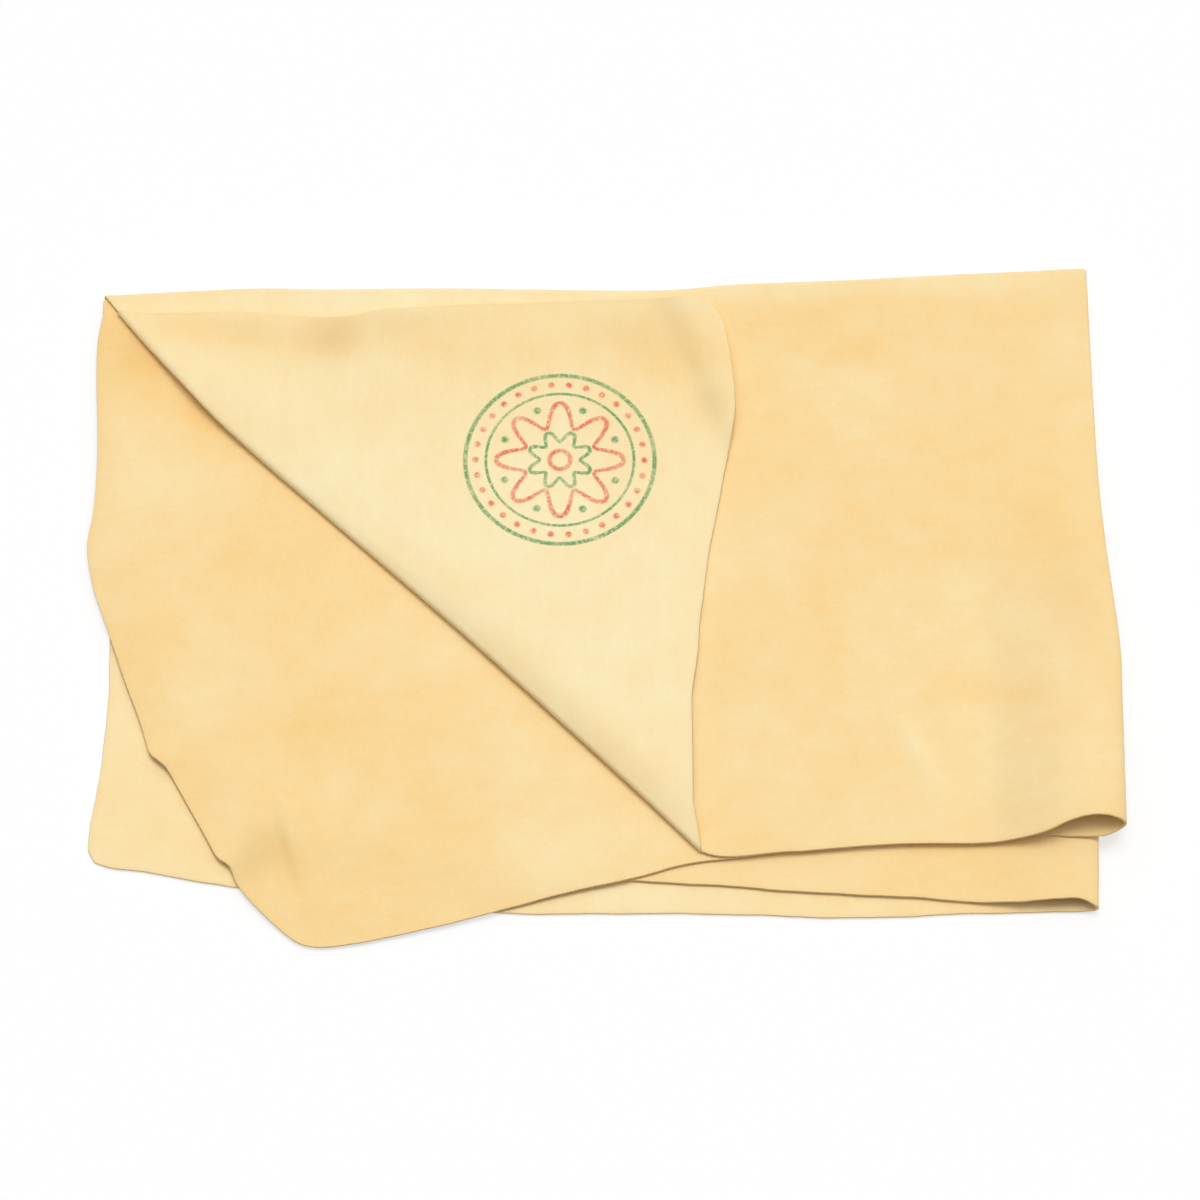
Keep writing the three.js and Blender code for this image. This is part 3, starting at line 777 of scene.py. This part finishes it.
# Across the roll, -1 is where the leaf runs into it, 0 is its nose and 1 is where the corner leaves it
along = np.linspace(0, 1, ROWS)[None]
across_roll = np.linspace(-1, 1, 2 * ROLL_COLUMNS - 1)[:, None]
turned_over = across_roll > 0
roll_inset = (CORNER_REACH - half) * across_roll**2
place_inset = roll_inset + half
in_front = BACK_REACH + (TURNED_INSET - BACK_REACH) * smooth_step(across_roll, 0.0, 1.0)
bow = np.interp(along, BOW[:, 0], BOW[:, 1]) * (1 - place_inset / CORNER_REACH)
run_from = run_to_back(place_inset - bow[:, :1], in_front)
nose_end = beside_fold(half, run_to_front(half))
side_x = nose_end[0] - SIDE_TUCK * smooth_step(place_inset, half, 12.0)
run_side = (side_x - fold_start[0] - place_inset * fold_inward[0]) / np.cos(CORNER_ANGLE)
run_to = np.where(turned_over, run_side, run_to_front(place_inset))
roll_plan = beside_fold(place_inset - bow, run_from + (run_to - run_from) * along)
print("roll's nose bows out by at most", round(float(BOW[:, 1].max()), 1), "mm")

# %% How full the roll is
ROLL_OPENING = 1.0
SWELL = smooth_line([
    (0, 0), (0.05, 0.4), (0.11, 1.6), (0.16, 2.2), (0.24, 1.0), (0.4, 1.1), (0.6, 1.9), (0.85, 2.4), (1, 1),
])
SWELL_REACH = 80.0
FULLEST_AT = 0.16
FULL_SPREAD = 0.09


def swell_beside_fold(plan):
    """How far the turned corner stands off the leaf: in full at its fold, fading out by SWELL_REACH."""
    inset, run = (plan - fold_start) @ fold_inward, (plan - fold_start) @ fold_along
    beside_nose = np.interp(run / run_to_front(half), SWELL[:, 0], SWELL[:, 1])
    return beside_nose * (1 - smooth_step(inset, 0.0, SWELL_REACH))


# Where the roll is fullest, its nose stands higher and its loop is all open. Further down it is rounder
fullest = np.exp(-(((along - FULLEST_AT) / FULL_SPREAD) ** 2))
nose_share = 0.3 + 0.5 * fullest
opening = ROLL_OPENING * (0.3 + 0.7 * fullest) * smooth_step(along, 0.0, 0.15)
rise, apart = hairpin(roll_inset, opening, CORNER_REACH, nose_share)
rounding = 1.8 + 8.0 * smooth_step(along, 0.3, 0.8)
lift, past_nose = swell_beside_fold(roll_plan), 1 - np.clip(1 - roll_inset / rounding, 0, None) ** 2
rise, apart = rise + nose_share * lift * (1 - past_nose), apart + lift * past_nose
roll_relief = np.where(turned_over, RELIEF_OF_LEAF[4], RELIEF_OF_LEAF[3])
roll_height = level[3] + rise + np.where(turned_over, apart, 0)
roll_x, roll_y = roll_plan[..., 0], roll_plan[..., 1]
roll = raised(roll_plan, roll_height + roll_relief * relief(roll_x, roll_y) - settles(roll_x, roll_y))
print("roll is at most", round(float((rise + apart).max()), 1), "mm high")

# %% The corner past the roll
CORNER_ROWS = 71
TURNED_TOP = np.array([(0.37, 13.5), (0.48, 10.0), (0.74, 6.8), (0.95, 6.2)])
TURNED_SIDE = np.array([
    (-0.005, 9.3), (0.045, 12.3), (0.2, 14.9), (0.26, 14.4), (0.42, 9.9),
    (0.575, 5.0), (0.7, 2.2), (0.79, 1.2), (0.88, -0.8),
])
NARROW_END = 5.0
TIP_RIDGE = np.array([[32.5, 108.0], [48.5, 68.0]])
TIP_HEIGHT = 2.8
BULGE = ((-88, 98), (18, 7), 6)
BULGE_HEIGHT = 0.9

narrow_end, fold_side_end = roll_plan[-1, 0], roll_plan[-1, -1]
side_top_y = back_line(fold_end_x) - TURNED_INSET
side_y = side_top_y + TURNED_SIDE[:, 0] * (fold_side_end[1] - side_top_y)
side_points = np.stack([fold_end_x + TURNED_SIDE[:, 1], side_y], -1)
top_x = -WIDTH / 2 + TURNED_TOP[:, 0] * (side_points[0, 0] + WIDTH / 2)
top_points = np.stack([top_x, back_line(top_x) - TURNED_TOP[:, 1]], -1)
top_start = narrow_end + NARROW_END * np.array([WIDTH, BACK_SKEW]) / np.hypot(WIDTH, BACK_SKEW)
top_edge = hand_cut(smooth_line([top_start, *top_points, side_points[0]]), 11, 0.3)
side_edge = hand_cut(smooth_line([fold_side_end, *side_points[::-1]]), 13, 0.3)
shares, row_shares = np.linspace(0, 1, ROWS), np.linspace(0, 1, CORNER_ROWS)
corner_plan = coons_patch(
    roll_plan[-1], at_shares(top_edge, shares),
    at_shares(np.stack([narrow_end, top_start]), row_shares), at_shares(side_edge, row_shares),
    np.broadcast_to(shares, (CORNER_ROWS, ROWS)), row_shares,
)
corner_x, corner_y = corner_plan[..., 0], corner_plan[..., 1]
past_ridge = past_line(corner_plan, TIP_RIDGE, 1)[0]
tip_curl = TIP_HEIGHT * smooth_step(past_ridge, -12.0, 0.0) * (1 - 0.85 * smooth_step(past_ridge, 1.0, 10.0))
tip_curl += BULGE_HEIGHT * soft_spot(corner_x, corner_y, *BULGE)
past_roll = smooth_step((corner_plan - fold_start) @ fold_inward, CORNER_REACH, CORNER_REACH + 18)
corner_height = level[4] + RELIEF_OF_LEAF[4] * relief(corner_x, corner_y) + past_roll * tip_curl
corner_height += swell_beside_fold(corner_plan) - settles(corner_x, corner_y)
corner = raised(corner_plan, corner_height)
print("turned corner's tip stands", round(float(corner_height.max()), 1), "mm above the table")

# %% Tones and painted shade of the turned corner
# (32, 80) and (42, 66) paint the shade left of the tip's ridge, and (-20, -39) the shade along the roll
# Spots of tone on the turned corner. The darker ones along its top edge are painted shade of its soft
# wrinkles,
CORNER_SPOTS = [
    (-130, 92, 40, 26, -40, -0.16),
    (-95, 96, 14, 9, 10, -0.2),
    (-84, 98, 46, 15, 0, -0.16),
    (0, 96, 64, 20, 0, -0.4),
    (-68, 64, 22, 12, 0, -0.14),
    (32, 80, 16, 30, 22, -0.22),
    (20, 30, 22, 40, 0, -0.06),
    (-127, 97, 26, 10, 0, -0.24),
    (42, 66, 8, 11, 0, -0.2),
    (-150, 102, 20, 8, -20, -0.22),
    (-25, 99, 16, 8, 0, 0.12),
    (19, -41, 12, 14, 0, 0.08),
    (-20, -39, 85, 8, -45, -0.14),
]
# Painted shade on the turned corner: soft wrinkles at its top edge, the tip's ridge, and the roll
CORNER_SHADE = [
    (-126, 98, 12, 6, 0, 0.09),
    (-93, 96, 9, 8, 0, 0.2),
    (-76, 102, 22, 5, 3, 0.14),
    (18, 97, 22, 11, -12, 0.1),
    (41, 70, 6, 6, 0, 0.12),
    (-20, -39, 85, 8, -45, 0.08),
]

# %% The turned corner as one sheet
STAMP_CENTRE = np.array([-12.2, 47.0])

turned_middle = np.concatenate([roll, corner[1:]])
inset_over = (turned_middle[..., :2] - fold_start) @ fold_inward
over_rows = np.arange(turned_middle.shape[0])[:, None] >= ROLL_COLUMNS
unfolded = turned_middle[..., :2] - np.where(over_rows, 2 * inset_over, 0)[..., None] * fold_inward
turned_flat = flat_skin(unfolded, upper_nose, -1, -1)
turned_cut = cut_edges(turned_middle, FRONT_ROW, FIRST_COLUMN, LAST_COLUMN)
# The cut edge's tint, partly painted shade, fades towards the roll and the tip, where the edge lies flat and
# lit
turned_cut[:ROLL_COLUMNS] *= smooth_step(np.arange(ROWS), 1, 4)
turned_cut[-1] *= smooth_step(shares, 0.15, 0.45) * (1 - smooth_step(shares, 0.85, 1.0))
turned_cut[-CORNER_ROWS:, -1] *= 1 - smooth_step(row_shares, 0.75, 0.9)
turned_cut[-CORNER_ROWS:, 0] = 0
turned_corner = leather_sheet(
    "chamois_turned_corner", turned_middle, turned_flat,
    tone_of(turned_middle, 0.86, CORNER_SPOTS), tone_of(turned_middle, 0.42, TOP_SPOTS), turned_cut,
)
from_stamp = turned_middle[..., :2] - STAMP_CENTRE
printed_side = np.where(over_rows, 1.0, -1.0) + 0 * inset_over
stamp_over, stamp_under = raised(from_stamp, printed_side), raised(from_stamp, 0 * inset_over - 1)
keep(turned_corner, "stamp_place", on_points(stamp_over, stamp_under)[0])
# Painted shade on the turned corner's upper face only
shade_over = np.where(over_rows, tone_of(turned_middle, 0, CORNER_SHADE), 0)
keep(turned_corner, "painted_shade", on_points(shade_over, 0 * shade_over)[0])

# %% [markdown]
# ## Suede
#
# Chamois is split and buffed on both sides, so it has a short nap and hardly any shine. Its colour drifts in
# patches as wide as a hand, in clouds as wide as a finger, and in a fine salt of fibre ends. One node group
# makes all that from the place on the flat skin, so two materials can share it. A cut edge is darker and
# more fibrous than the faces, because it shows the skin from the inside. Painted shade takes a face part of
# the way to that colour, where hollows, loops and wrinkles lie in shade.

# %% Small helpers for nodes
def feed(tree, socket, value):
    """Links a socket to another one, or sets its value."""
    if isinstance(value, bpy.types.NodeSocket):
        tree.links.new(value, socket)
    else:
        socket.default_value = value


def dial(node, **settings):
    """Sets inputs of a node, which are named with underscores for their spaces."""
    for label, value in settings.items():
        node.inputs[label.replace("_", " ")].default_value = value


def calculate(tree, operation, *values):
    """A Math node on sockets or numbers."""
    node = tree.nodes.new("ShaderNodeMath")
    node.operation = operation
    for socket, value in zip(node.inputs, values):
        feed(tree, socket, value)
    return node.outputs[0]


def mixed(tree, share, first, second):
    """A Mix node between two colours."""
    node = tree.nodes.new("ShaderNodeMix")
    node.data_type = "RGBA"
    for index, value in ((0, share), (6, first), (7, second)):
        feed(tree, node.inputs[index], value)
    return node.outputs[2]


def noise(tree, place, scale, detail, stretch=(1, 1, 1), turn=0.0, distortion=0.0):
    """Noise on a place that is turned about z and stretched, as 0 to 1."""
    mapping = tree.nodes.new("ShaderNodeMapping")
    dial(mapping, Rotation=(0, 0, np.radians(turn)), Scale=stretch)
    feed(tree, mapping.inputs["Vector"], place)
    node = tree.nodes.new("ShaderNodeTexNoise")
    dial(node, Scale=scale, Detail=detail, Distortion=distortion)
    tree.links.new(mapping.outputs["Vector"], node.inputs["Vector"])
    return node.outputs["Fac"]


def between(tree, value, low, high, to_low, to_high):
    """A Map Range node with a smooth step."""
    node = tree.nodes.new("ShaderNodeMapRange")
    node.interpolation_type = "SMOOTHSTEP"
    for socket, number in zip(node.inputs, (value, low, high, to_low, to_high)):
        feed(tree, socket, number)
    return node.outputs[0]


def new_group(name, inputs, outputs):
    """A shader node group with named sockets, and its input and output nodes."""
    group = bpy.data.node_groups.new(name, "ShaderNodeTree")
    for label, kind in inputs:
        group.interface.new_socket(label, in_out="INPUT", socket_type=kind)
    for label, kind in outputs:
        group.interface.new_socket(label, in_out="OUTPUT", socket_type=kind)
    return group, group.nodes.new("NodeGroupInput").outputs, group.nodes.new("NodeGroupOutput").inputs


# %% The suede group
VECTOR, FLOAT, COLOR = "NodeSocketVector", "NodeSocketFloat", "NodeSocketColor"
suede, given, gives = new_group(
    "suede",
    [("Place", VECTOR), ("Tone", FLOAT), ("Painted Shade", FLOAT), ("Cut Edge", FLOAT),
     ("Deep", COLOR), ("Pale", COLOR), ("Edge", COLOR)],
    [("Color", COLOR), ("Roughness", FLOAT), ("Height", FLOAT)],
)
patches = noise(suede, given["Place"], 17, 3, distortion=0.5)
clouds = noise(suede, given["Place"], 85, 4, distortion=0.3)
strokes = noise(suede, given["Place"], 60, 3, stretch=(1, 5, 1), turn=32, distortion=0.8)
grain = noise(suede, given["Place"], 480, 3)
fibre = noise(suede, given["Place"], 1500, 2, stretch=(1, 2.4, 1), turn=18)
drift = given["Tone"]
for pattern, amount in ((patches, 0.75), (clouds, 0.42), (strokes, 0.22), (grain, 0.3), (fibre, 0.3)):
    drift = calculate(suede, "MULTIPLY_ADD", calculate(suede, "SUBTRACT", pattern, 0.5), amount, drift)
skin_color = mixed(suede, calculate(suede, "MAXIMUM", drift, 0.0), given["Deep"], given["Pale"])
# Painted shade takes the colour its share of the way to the darker edge colour
skin_color = mixed(suede, given["Painted Shade"], skin_color, given["Edge"])
frayed = calculate(suede, "MULTIPLY", given["Cut Edge"], between(suede, grain, 0.3, 0.7, 0.25, 0.6))
feed(suede, gives["Color"], mixed(suede, frayed, skin_color, given["Edge"]))
feed(suede, gives["Roughness"], calculate(suede, "MULTIPLY_ADD", clouds, 0.16, 0.8))
nap = calculate(suede, "MULTIPLY_ADD", grain, 0.6, calculate(suede, "MULTIPLY", fibre, 0.5))
feed(suede, gives["Height"], calculate(suede, "MULTIPLY_ADD", clouds, 0.8, nap))
print("suede group:", len(suede.nodes), "nodes")

# %% [markdown]
# ## The chamois and its stamp
#
# The stamp on the turned corner is ink that has sunk into the nap: thin lines in green and red, broken where
# the fibres kept it off. Its lines are drawn by distance: the nearer a place is to a ring or a petal line,
# the more ink. It is a plain rosette of rings, beads and petals.

# %% Materials of the skin
DEEP = (0.935, 0.615, 0.232, 1)
PALE = (0.95, 0.812, 0.488, 1)
# The cut edge's darker colour, which the painted shade on the faces also mixes towards
EDGE = (0.56, 0.35, 0.13, 1)


def attribute(tree, name):
    """An Attribute node for one of the values that the points keep."""
    node = tree.nodes.new("ShaderNodeAttribute")
    node.attribute_name = name
    return node.outputs


def skin_material(name):
    """A Principled shader with the suede group on its colour, roughness and bump, and a little sheen."""
    material = bpy.data.materials.new(name)
    material.use_nodes = True
    tree = material.node_tree
    shader = tree.nodes["Principled BSDF"]
    dial(shader, Specular_IOR_Level=0.25)
    dial(shader, Sheen_Weight=0.12, Sheen_Roughness=0.6, Sheen_Tint=(1.0, 0.9, 0.7, 1))
    skin = tree.nodes.new("ShaderNodeGroup")
    skin.node_tree = suede
    feed(tree, skin.inputs["Place"], attribute(tree, "skin_place")["Vector"])
    for socket, label in (("Tone", "tone"), ("Painted Shade", "painted_shade"), ("Cut Edge", "cut_edge")):
        feed(tree, skin.inputs[socket], attribute(tree, label)["Fac"])
    dial(skin, Deep=DEEP, Pale=PALE, Edge=EDGE)
    bump = tree.nodes.new("ShaderNodeBump")
    dial(bump, Strength=0.35, Distance=0.0004)
    feed(tree, bump.inputs["Height"], skin.outputs["Height"])
    feed(tree, shader.inputs["Normal"], bump.outputs["Normal"])
    feed(tree, shader.inputs["Roughness"], skin.outputs["Roughness"])
    feed(tree, shader.inputs["Base Color"], skin.outputs["Color"])
    return material, tree, shader, skin


chamois = skin_material("chamois")[0]
stamped, stamp_tree, stamp_shader, stamp_skin = skin_material("stamped chamois")
print("materials:", chamois.name, "and", stamped.name)

# %% A line of ink
ink_line, line_given, line_gives = new_group(
    "ink line", [("Away", FLOAT), ("Width", FLOAT)], [("Ink", FLOAT)]
)
away = calculate(ink_line, "ABSOLUTE", line_given["Away"])
half_width = calculate(ink_line, "MULTIPLY", line_given["Width"], 0.5)
inside_edge = calculate(ink_line, "MULTIPLY", half_width, 0.6)
outside_edge = calculate(ink_line, "MULTIPLY", half_width, 1.4)
feed(ink_line, line_gives["Ink"], between(ink_line, away, inside_edge, outside_edge, 1.0, 0.0))
print("ink line group:", len(ink_line.nodes), "nodes")


# %% Reach and bearing from the stamp's centre
def stamp_math(operation, *values):
    """A Math node in the stamp's material."""
    return calculate(stamp_tree, operation, *values)


place = attribute(stamp_tree, "stamp_place")["Vector"]
parts = stamp_tree.nodes.new("ShaderNodeSeparateXYZ")
feed(stamp_tree, parts.inputs[0], place)
px, py, up_side = parts.outputs
squares = stamp_math("MULTIPLY_ADD", px, px, stamp_math("MULTIPLY", py, py))
reach = stamp_math("SQRT", squares)
bearing = stamp_math("ARCTAN2", py, px)


# %% Rings, petals and beads
def drawn(away, width):
    """An ink line of a width along which away, in millimetres, is 0."""
    node = stamp_tree.nodes.new("ShaderNodeGroup")
    node.node_tree = ink_line
    feed(stamp_tree, node.inputs["Away"], away)
    dial(node, Width=width)
    return node.outputs["Ink"]


def ring(radius, width):
    """A circle: the reach less its radius."""
    return drawn(stamp_math("SUBTRACT", reach, radius), width)


def rosette(radius, petal, count, start, width):
    """A wavy ring: the reach less radius + petal x cos(count x bearing + start), over its own slope."""
    angle = stamp_math("MULTIPLY_ADD", bearing, float(count), start)
    wave = stamp_math("MULTIPLY_ADD", stamp_math("COSINE", angle), petal, radius)
    slope = stamp_math("MULTIPLY", stamp_math("SINE", angle), petal * count / radius)
    steep = stamp_math("SQRT", stamp_math("MULTIPLY_ADD", slope, slope, 1.0))
    away = stamp_math("DIVIDE", stamp_math("SUBTRACT", reach, wave), steep)
    return drawn(away, width)


def beads(radius, count, start, size):
    """Dots on a circle: the distance to the nearest of count places on it, as a line as wide as a dot."""
    turns = stamp_math("MULTIPLY_ADD", bearing, count / (2 * np.pi), start)
    nearest = stamp_math("SUBTRACT", turns, stamp_math("ROUND", turns))
    sideways = stamp_math("MULTIPLY", nearest, 2 * np.pi * radius / count)
    outwards = stamp_math("SUBTRACT", reach, radius)
    squares = stamp_math("MULTIPLY_ADD", sideways, sideways, stamp_math("MULTIPLY", outwards, outwards))
    return drawn(stamp_math("SQRT", squares), size)


def together(*masks):
    """The strongest of several masks."""
    strongest = masks[0]
    for mask in masks[1:]:
        strongest = stamp_math("MAXIMUM", strongest, mask)
    return strongest


# %% The stamp in its two inks
GREEN_INK = (0.16, 0.36, 0.13, 1)
RED_INK = (0.80, 0.17, 0.10, 1)

green = together(
    ring(33.0, 1.5), ring(25.8, 1.0), rosette(9.2, 2.0, 8, np.pi, 1.3), beads(20.8, 8, 0.5, 2.6)
)
red = together(beads(29.4, 30, 0.0, 2.2), rosette(17.6, 4.6, 8, 0.0, 1.5), ring(3.6, 1.6))
skin_place = attribute(stamp_tree, "skin_place")["Vector"]
patchy = between(stamp_tree, noise(stamp_tree, skin_place, 900, 3), 0.3, 0.56, 0.4, 1.0)
faded = between(stamp_tree, noise(stamp_tree, skin_place, 110, 2), 0.3, 0.62, 0.65, 1.0)
printed = stamp_math("GREATER_THAN", up_side, 0.5)
held = stamp_math("MULTIPLY", stamp_math("MULTIPLY", patchy, faded), printed)
inked = mixed(stamp_tree, stamp_math("MULTIPLY", green, held), stamp_skin.outputs["Color"], GREEN_INK)
inked = mixed(stamp_tree, stamp_math("MULTIPLY", red, held), inked, RED_INK)
feed(stamp_tree, stamp_shader.inputs["Base Color"], inked)
print("stamp:", len(stamp_tree.nodes), "nodes")

for piece in (lower_leaves, upper_leaves, back_folds):
    piece.data.materials.append(chamois)
turned_corner.data.materials.append(stamped)

# %% [markdown]
# ## How the leather moves
#
# The upper leaves open about the back fold, and the corner turns about its own fold. Leather in a fold bends
# a little at each place. Here the lower and the upper leaves each ride a body, while the back folds and the
# turned corner only have their placing baked in. For the corner, a share of its turn is worked out from each
# point's place about its hinge, so that the swollen roll would come to lie level when open; it is only
# printed.

# %% Ride, the corner's share of its turn, and replace
CORNER_OPENS = 175.0
FOLD_SOFT = 7.0

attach(lower_leaves, "lower")
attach(upper_leaves, "upper")
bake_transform(back_folds)
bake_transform(turned_corner)


above_hinge = turned_middle[..., 2] - level[4] - half
to_level = (np.pi - np.arctan2(above_hinge, inset_over)) / np.radians(CORNER_OPENS)
past_hinge = smooth_step(inset_over, 0.0, FOLD_SOFT)
corner_share = np.where(over_rows, past_hinge * np.clip(to_level, 0.0, 1.0), 0.0)
bending = (corner_share > 0) & (corner_share < 1)
print("part of the corner that takes only a share of its turn:", round(float(bending.mean()), 2))

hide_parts("bottom_leaf", "third_leaf", "lower_right_fold")
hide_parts("top_leaf", "second_leaf", "upper_right_fold")
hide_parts("top_fold_outer", "top_fold_inner")
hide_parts("turned_corner", "corner_fold")

# %% [markdown]
# ## Floor, light and camera
#
# The leather lies on a plain white table under soft light: a room that is bright overhead and dark towards
# the horizon, and a broad lamp just behind overhead. Both leave the cut front edges and the insides of the
# loops a shade darker. Together they give a white card about its own brightness, so colours come out as
# they are written.

# %% The floor
FLOOR_Z = -0.0003
FLOOR_REACH = 4
FLOOR_GLOW = 0.6

floor_mesh = bpy.data.meshes.new("floor")
floor_corners = FLOOR_REACH * np.array([(-1, -1, 0), (1, -1, 0), (1, 1, 0), (-1, 1, 0)]) + (0, 0, FLOOR_Z)
floor_mesh.from_pydata(floor_corners.tolist(), [], [(0, 1, 2, 3)])
floor = placed("floor", floor_mesh)
white = bpy.data.materials.new("white floor")
white.use_nodes = True
floor_tree = white.node_tree
table = floor_tree.nodes["Principled BSDF"]
dial(table, Base_Color=(0.97, 0.97, 0.97, 1), Roughness=1.0, Specular_IOR_Level=0.0)
card = floor_tree.nodes.new("ShaderNodeEmission")
path = floor_tree.nodes.new("ShaderNodeLightPath").outputs
seen = calculate(floor_tree, "MAXIMUM", path["Is Camera Ray"], path["Is Glossy Ray"])
seen = calculate(floor_tree, "MAXIMUM", seen, path["Is Transmission Ray"])
blend = floor_tree.nodes.new("ShaderNodeMixShader")
feed(floor_tree, blend.inputs[0], calculate(floor_tree, "MULTIPLY", seen, FLOOR_GLOW))
feed(floor_tree, blend.inputs[1], table.outputs[0])
feed(floor_tree, blend.inputs[2], card.outputs[0])
feed(floor_tree, floor_tree.nodes["Material Output"].inputs["Surface"], blend.outputs[0])
floor_mesh.materials.append(white)
print("floor lies", -FLOOR_Z * 1000, "mm under the leather")

# %% The light
BRIGHT_WAY = (0.05, 0.2, 0.98)
ROOM_DARK = 0.02
ROOM_BRIGHT = 0.96
LAMP_STRENGTH = 1.36
LAMP_SPREAD = np.radians(32)
LAMP_TILT = (np.radians(-14), np.radians(3), 0)

world = bpy.data.worlds.new("bright room")
scene.world = world
world.use_nodes = True
room = world.node_tree
towards_light = room.nodes.new("ShaderNodeVectorMath")
towards_light.operation = "DOT_PRODUCT"
feed(room, towards_light.inputs[0], room.nodes.new("ShaderNodeTexCoord").outputs["Generated"])
towards_light.inputs[1].default_value = BRIGHT_WAY
sky = room.nodes["Background"]
dial(sky, Color=(1, 1, 1, 1))
strength = between(room, towards_light.outputs["Value"], 0.15, 1.0, ROOM_DARK, ROOM_BRIGHT)
feed(room, sky.inputs["Strength"], strength)

lamp_data = bpy.data.lights.new("broad lamp", "SUN")
lamp_data.energy = LAMP_STRENGTH
lamp_data.angle = LAMP_SPREAD
lamp = placed("broad lamp", lamp_data)
lamp.rotation_euler = LAMP_TILT
print("room from", ROOM_DARK, "to", ROOM_BRIGHT, "and a lamp of", LAMP_STRENGTH)

# %% The camera
ELEVATION = np.radians(65)
DISTANCE = 1.5
LENS = 130.4

camera_data = bpy.data.cameras.new("photo view")
camera_data.sensor_width = 36
camera_data.lens = LENS
camera = placed("photo view", camera_data)
camera.location = (0, -DISTANCE * np.cos(ELEVATION), DISTANCE * np.sin(ELEVATION))
camera.rotation_euler = (np.pi / 2 - ELEVATION, 0, 0)
scene.camera = camera
scene.view_settings.view_transform = "Standard"
print("camera at", [round(v, 3) for v in camera.location], "in metres")
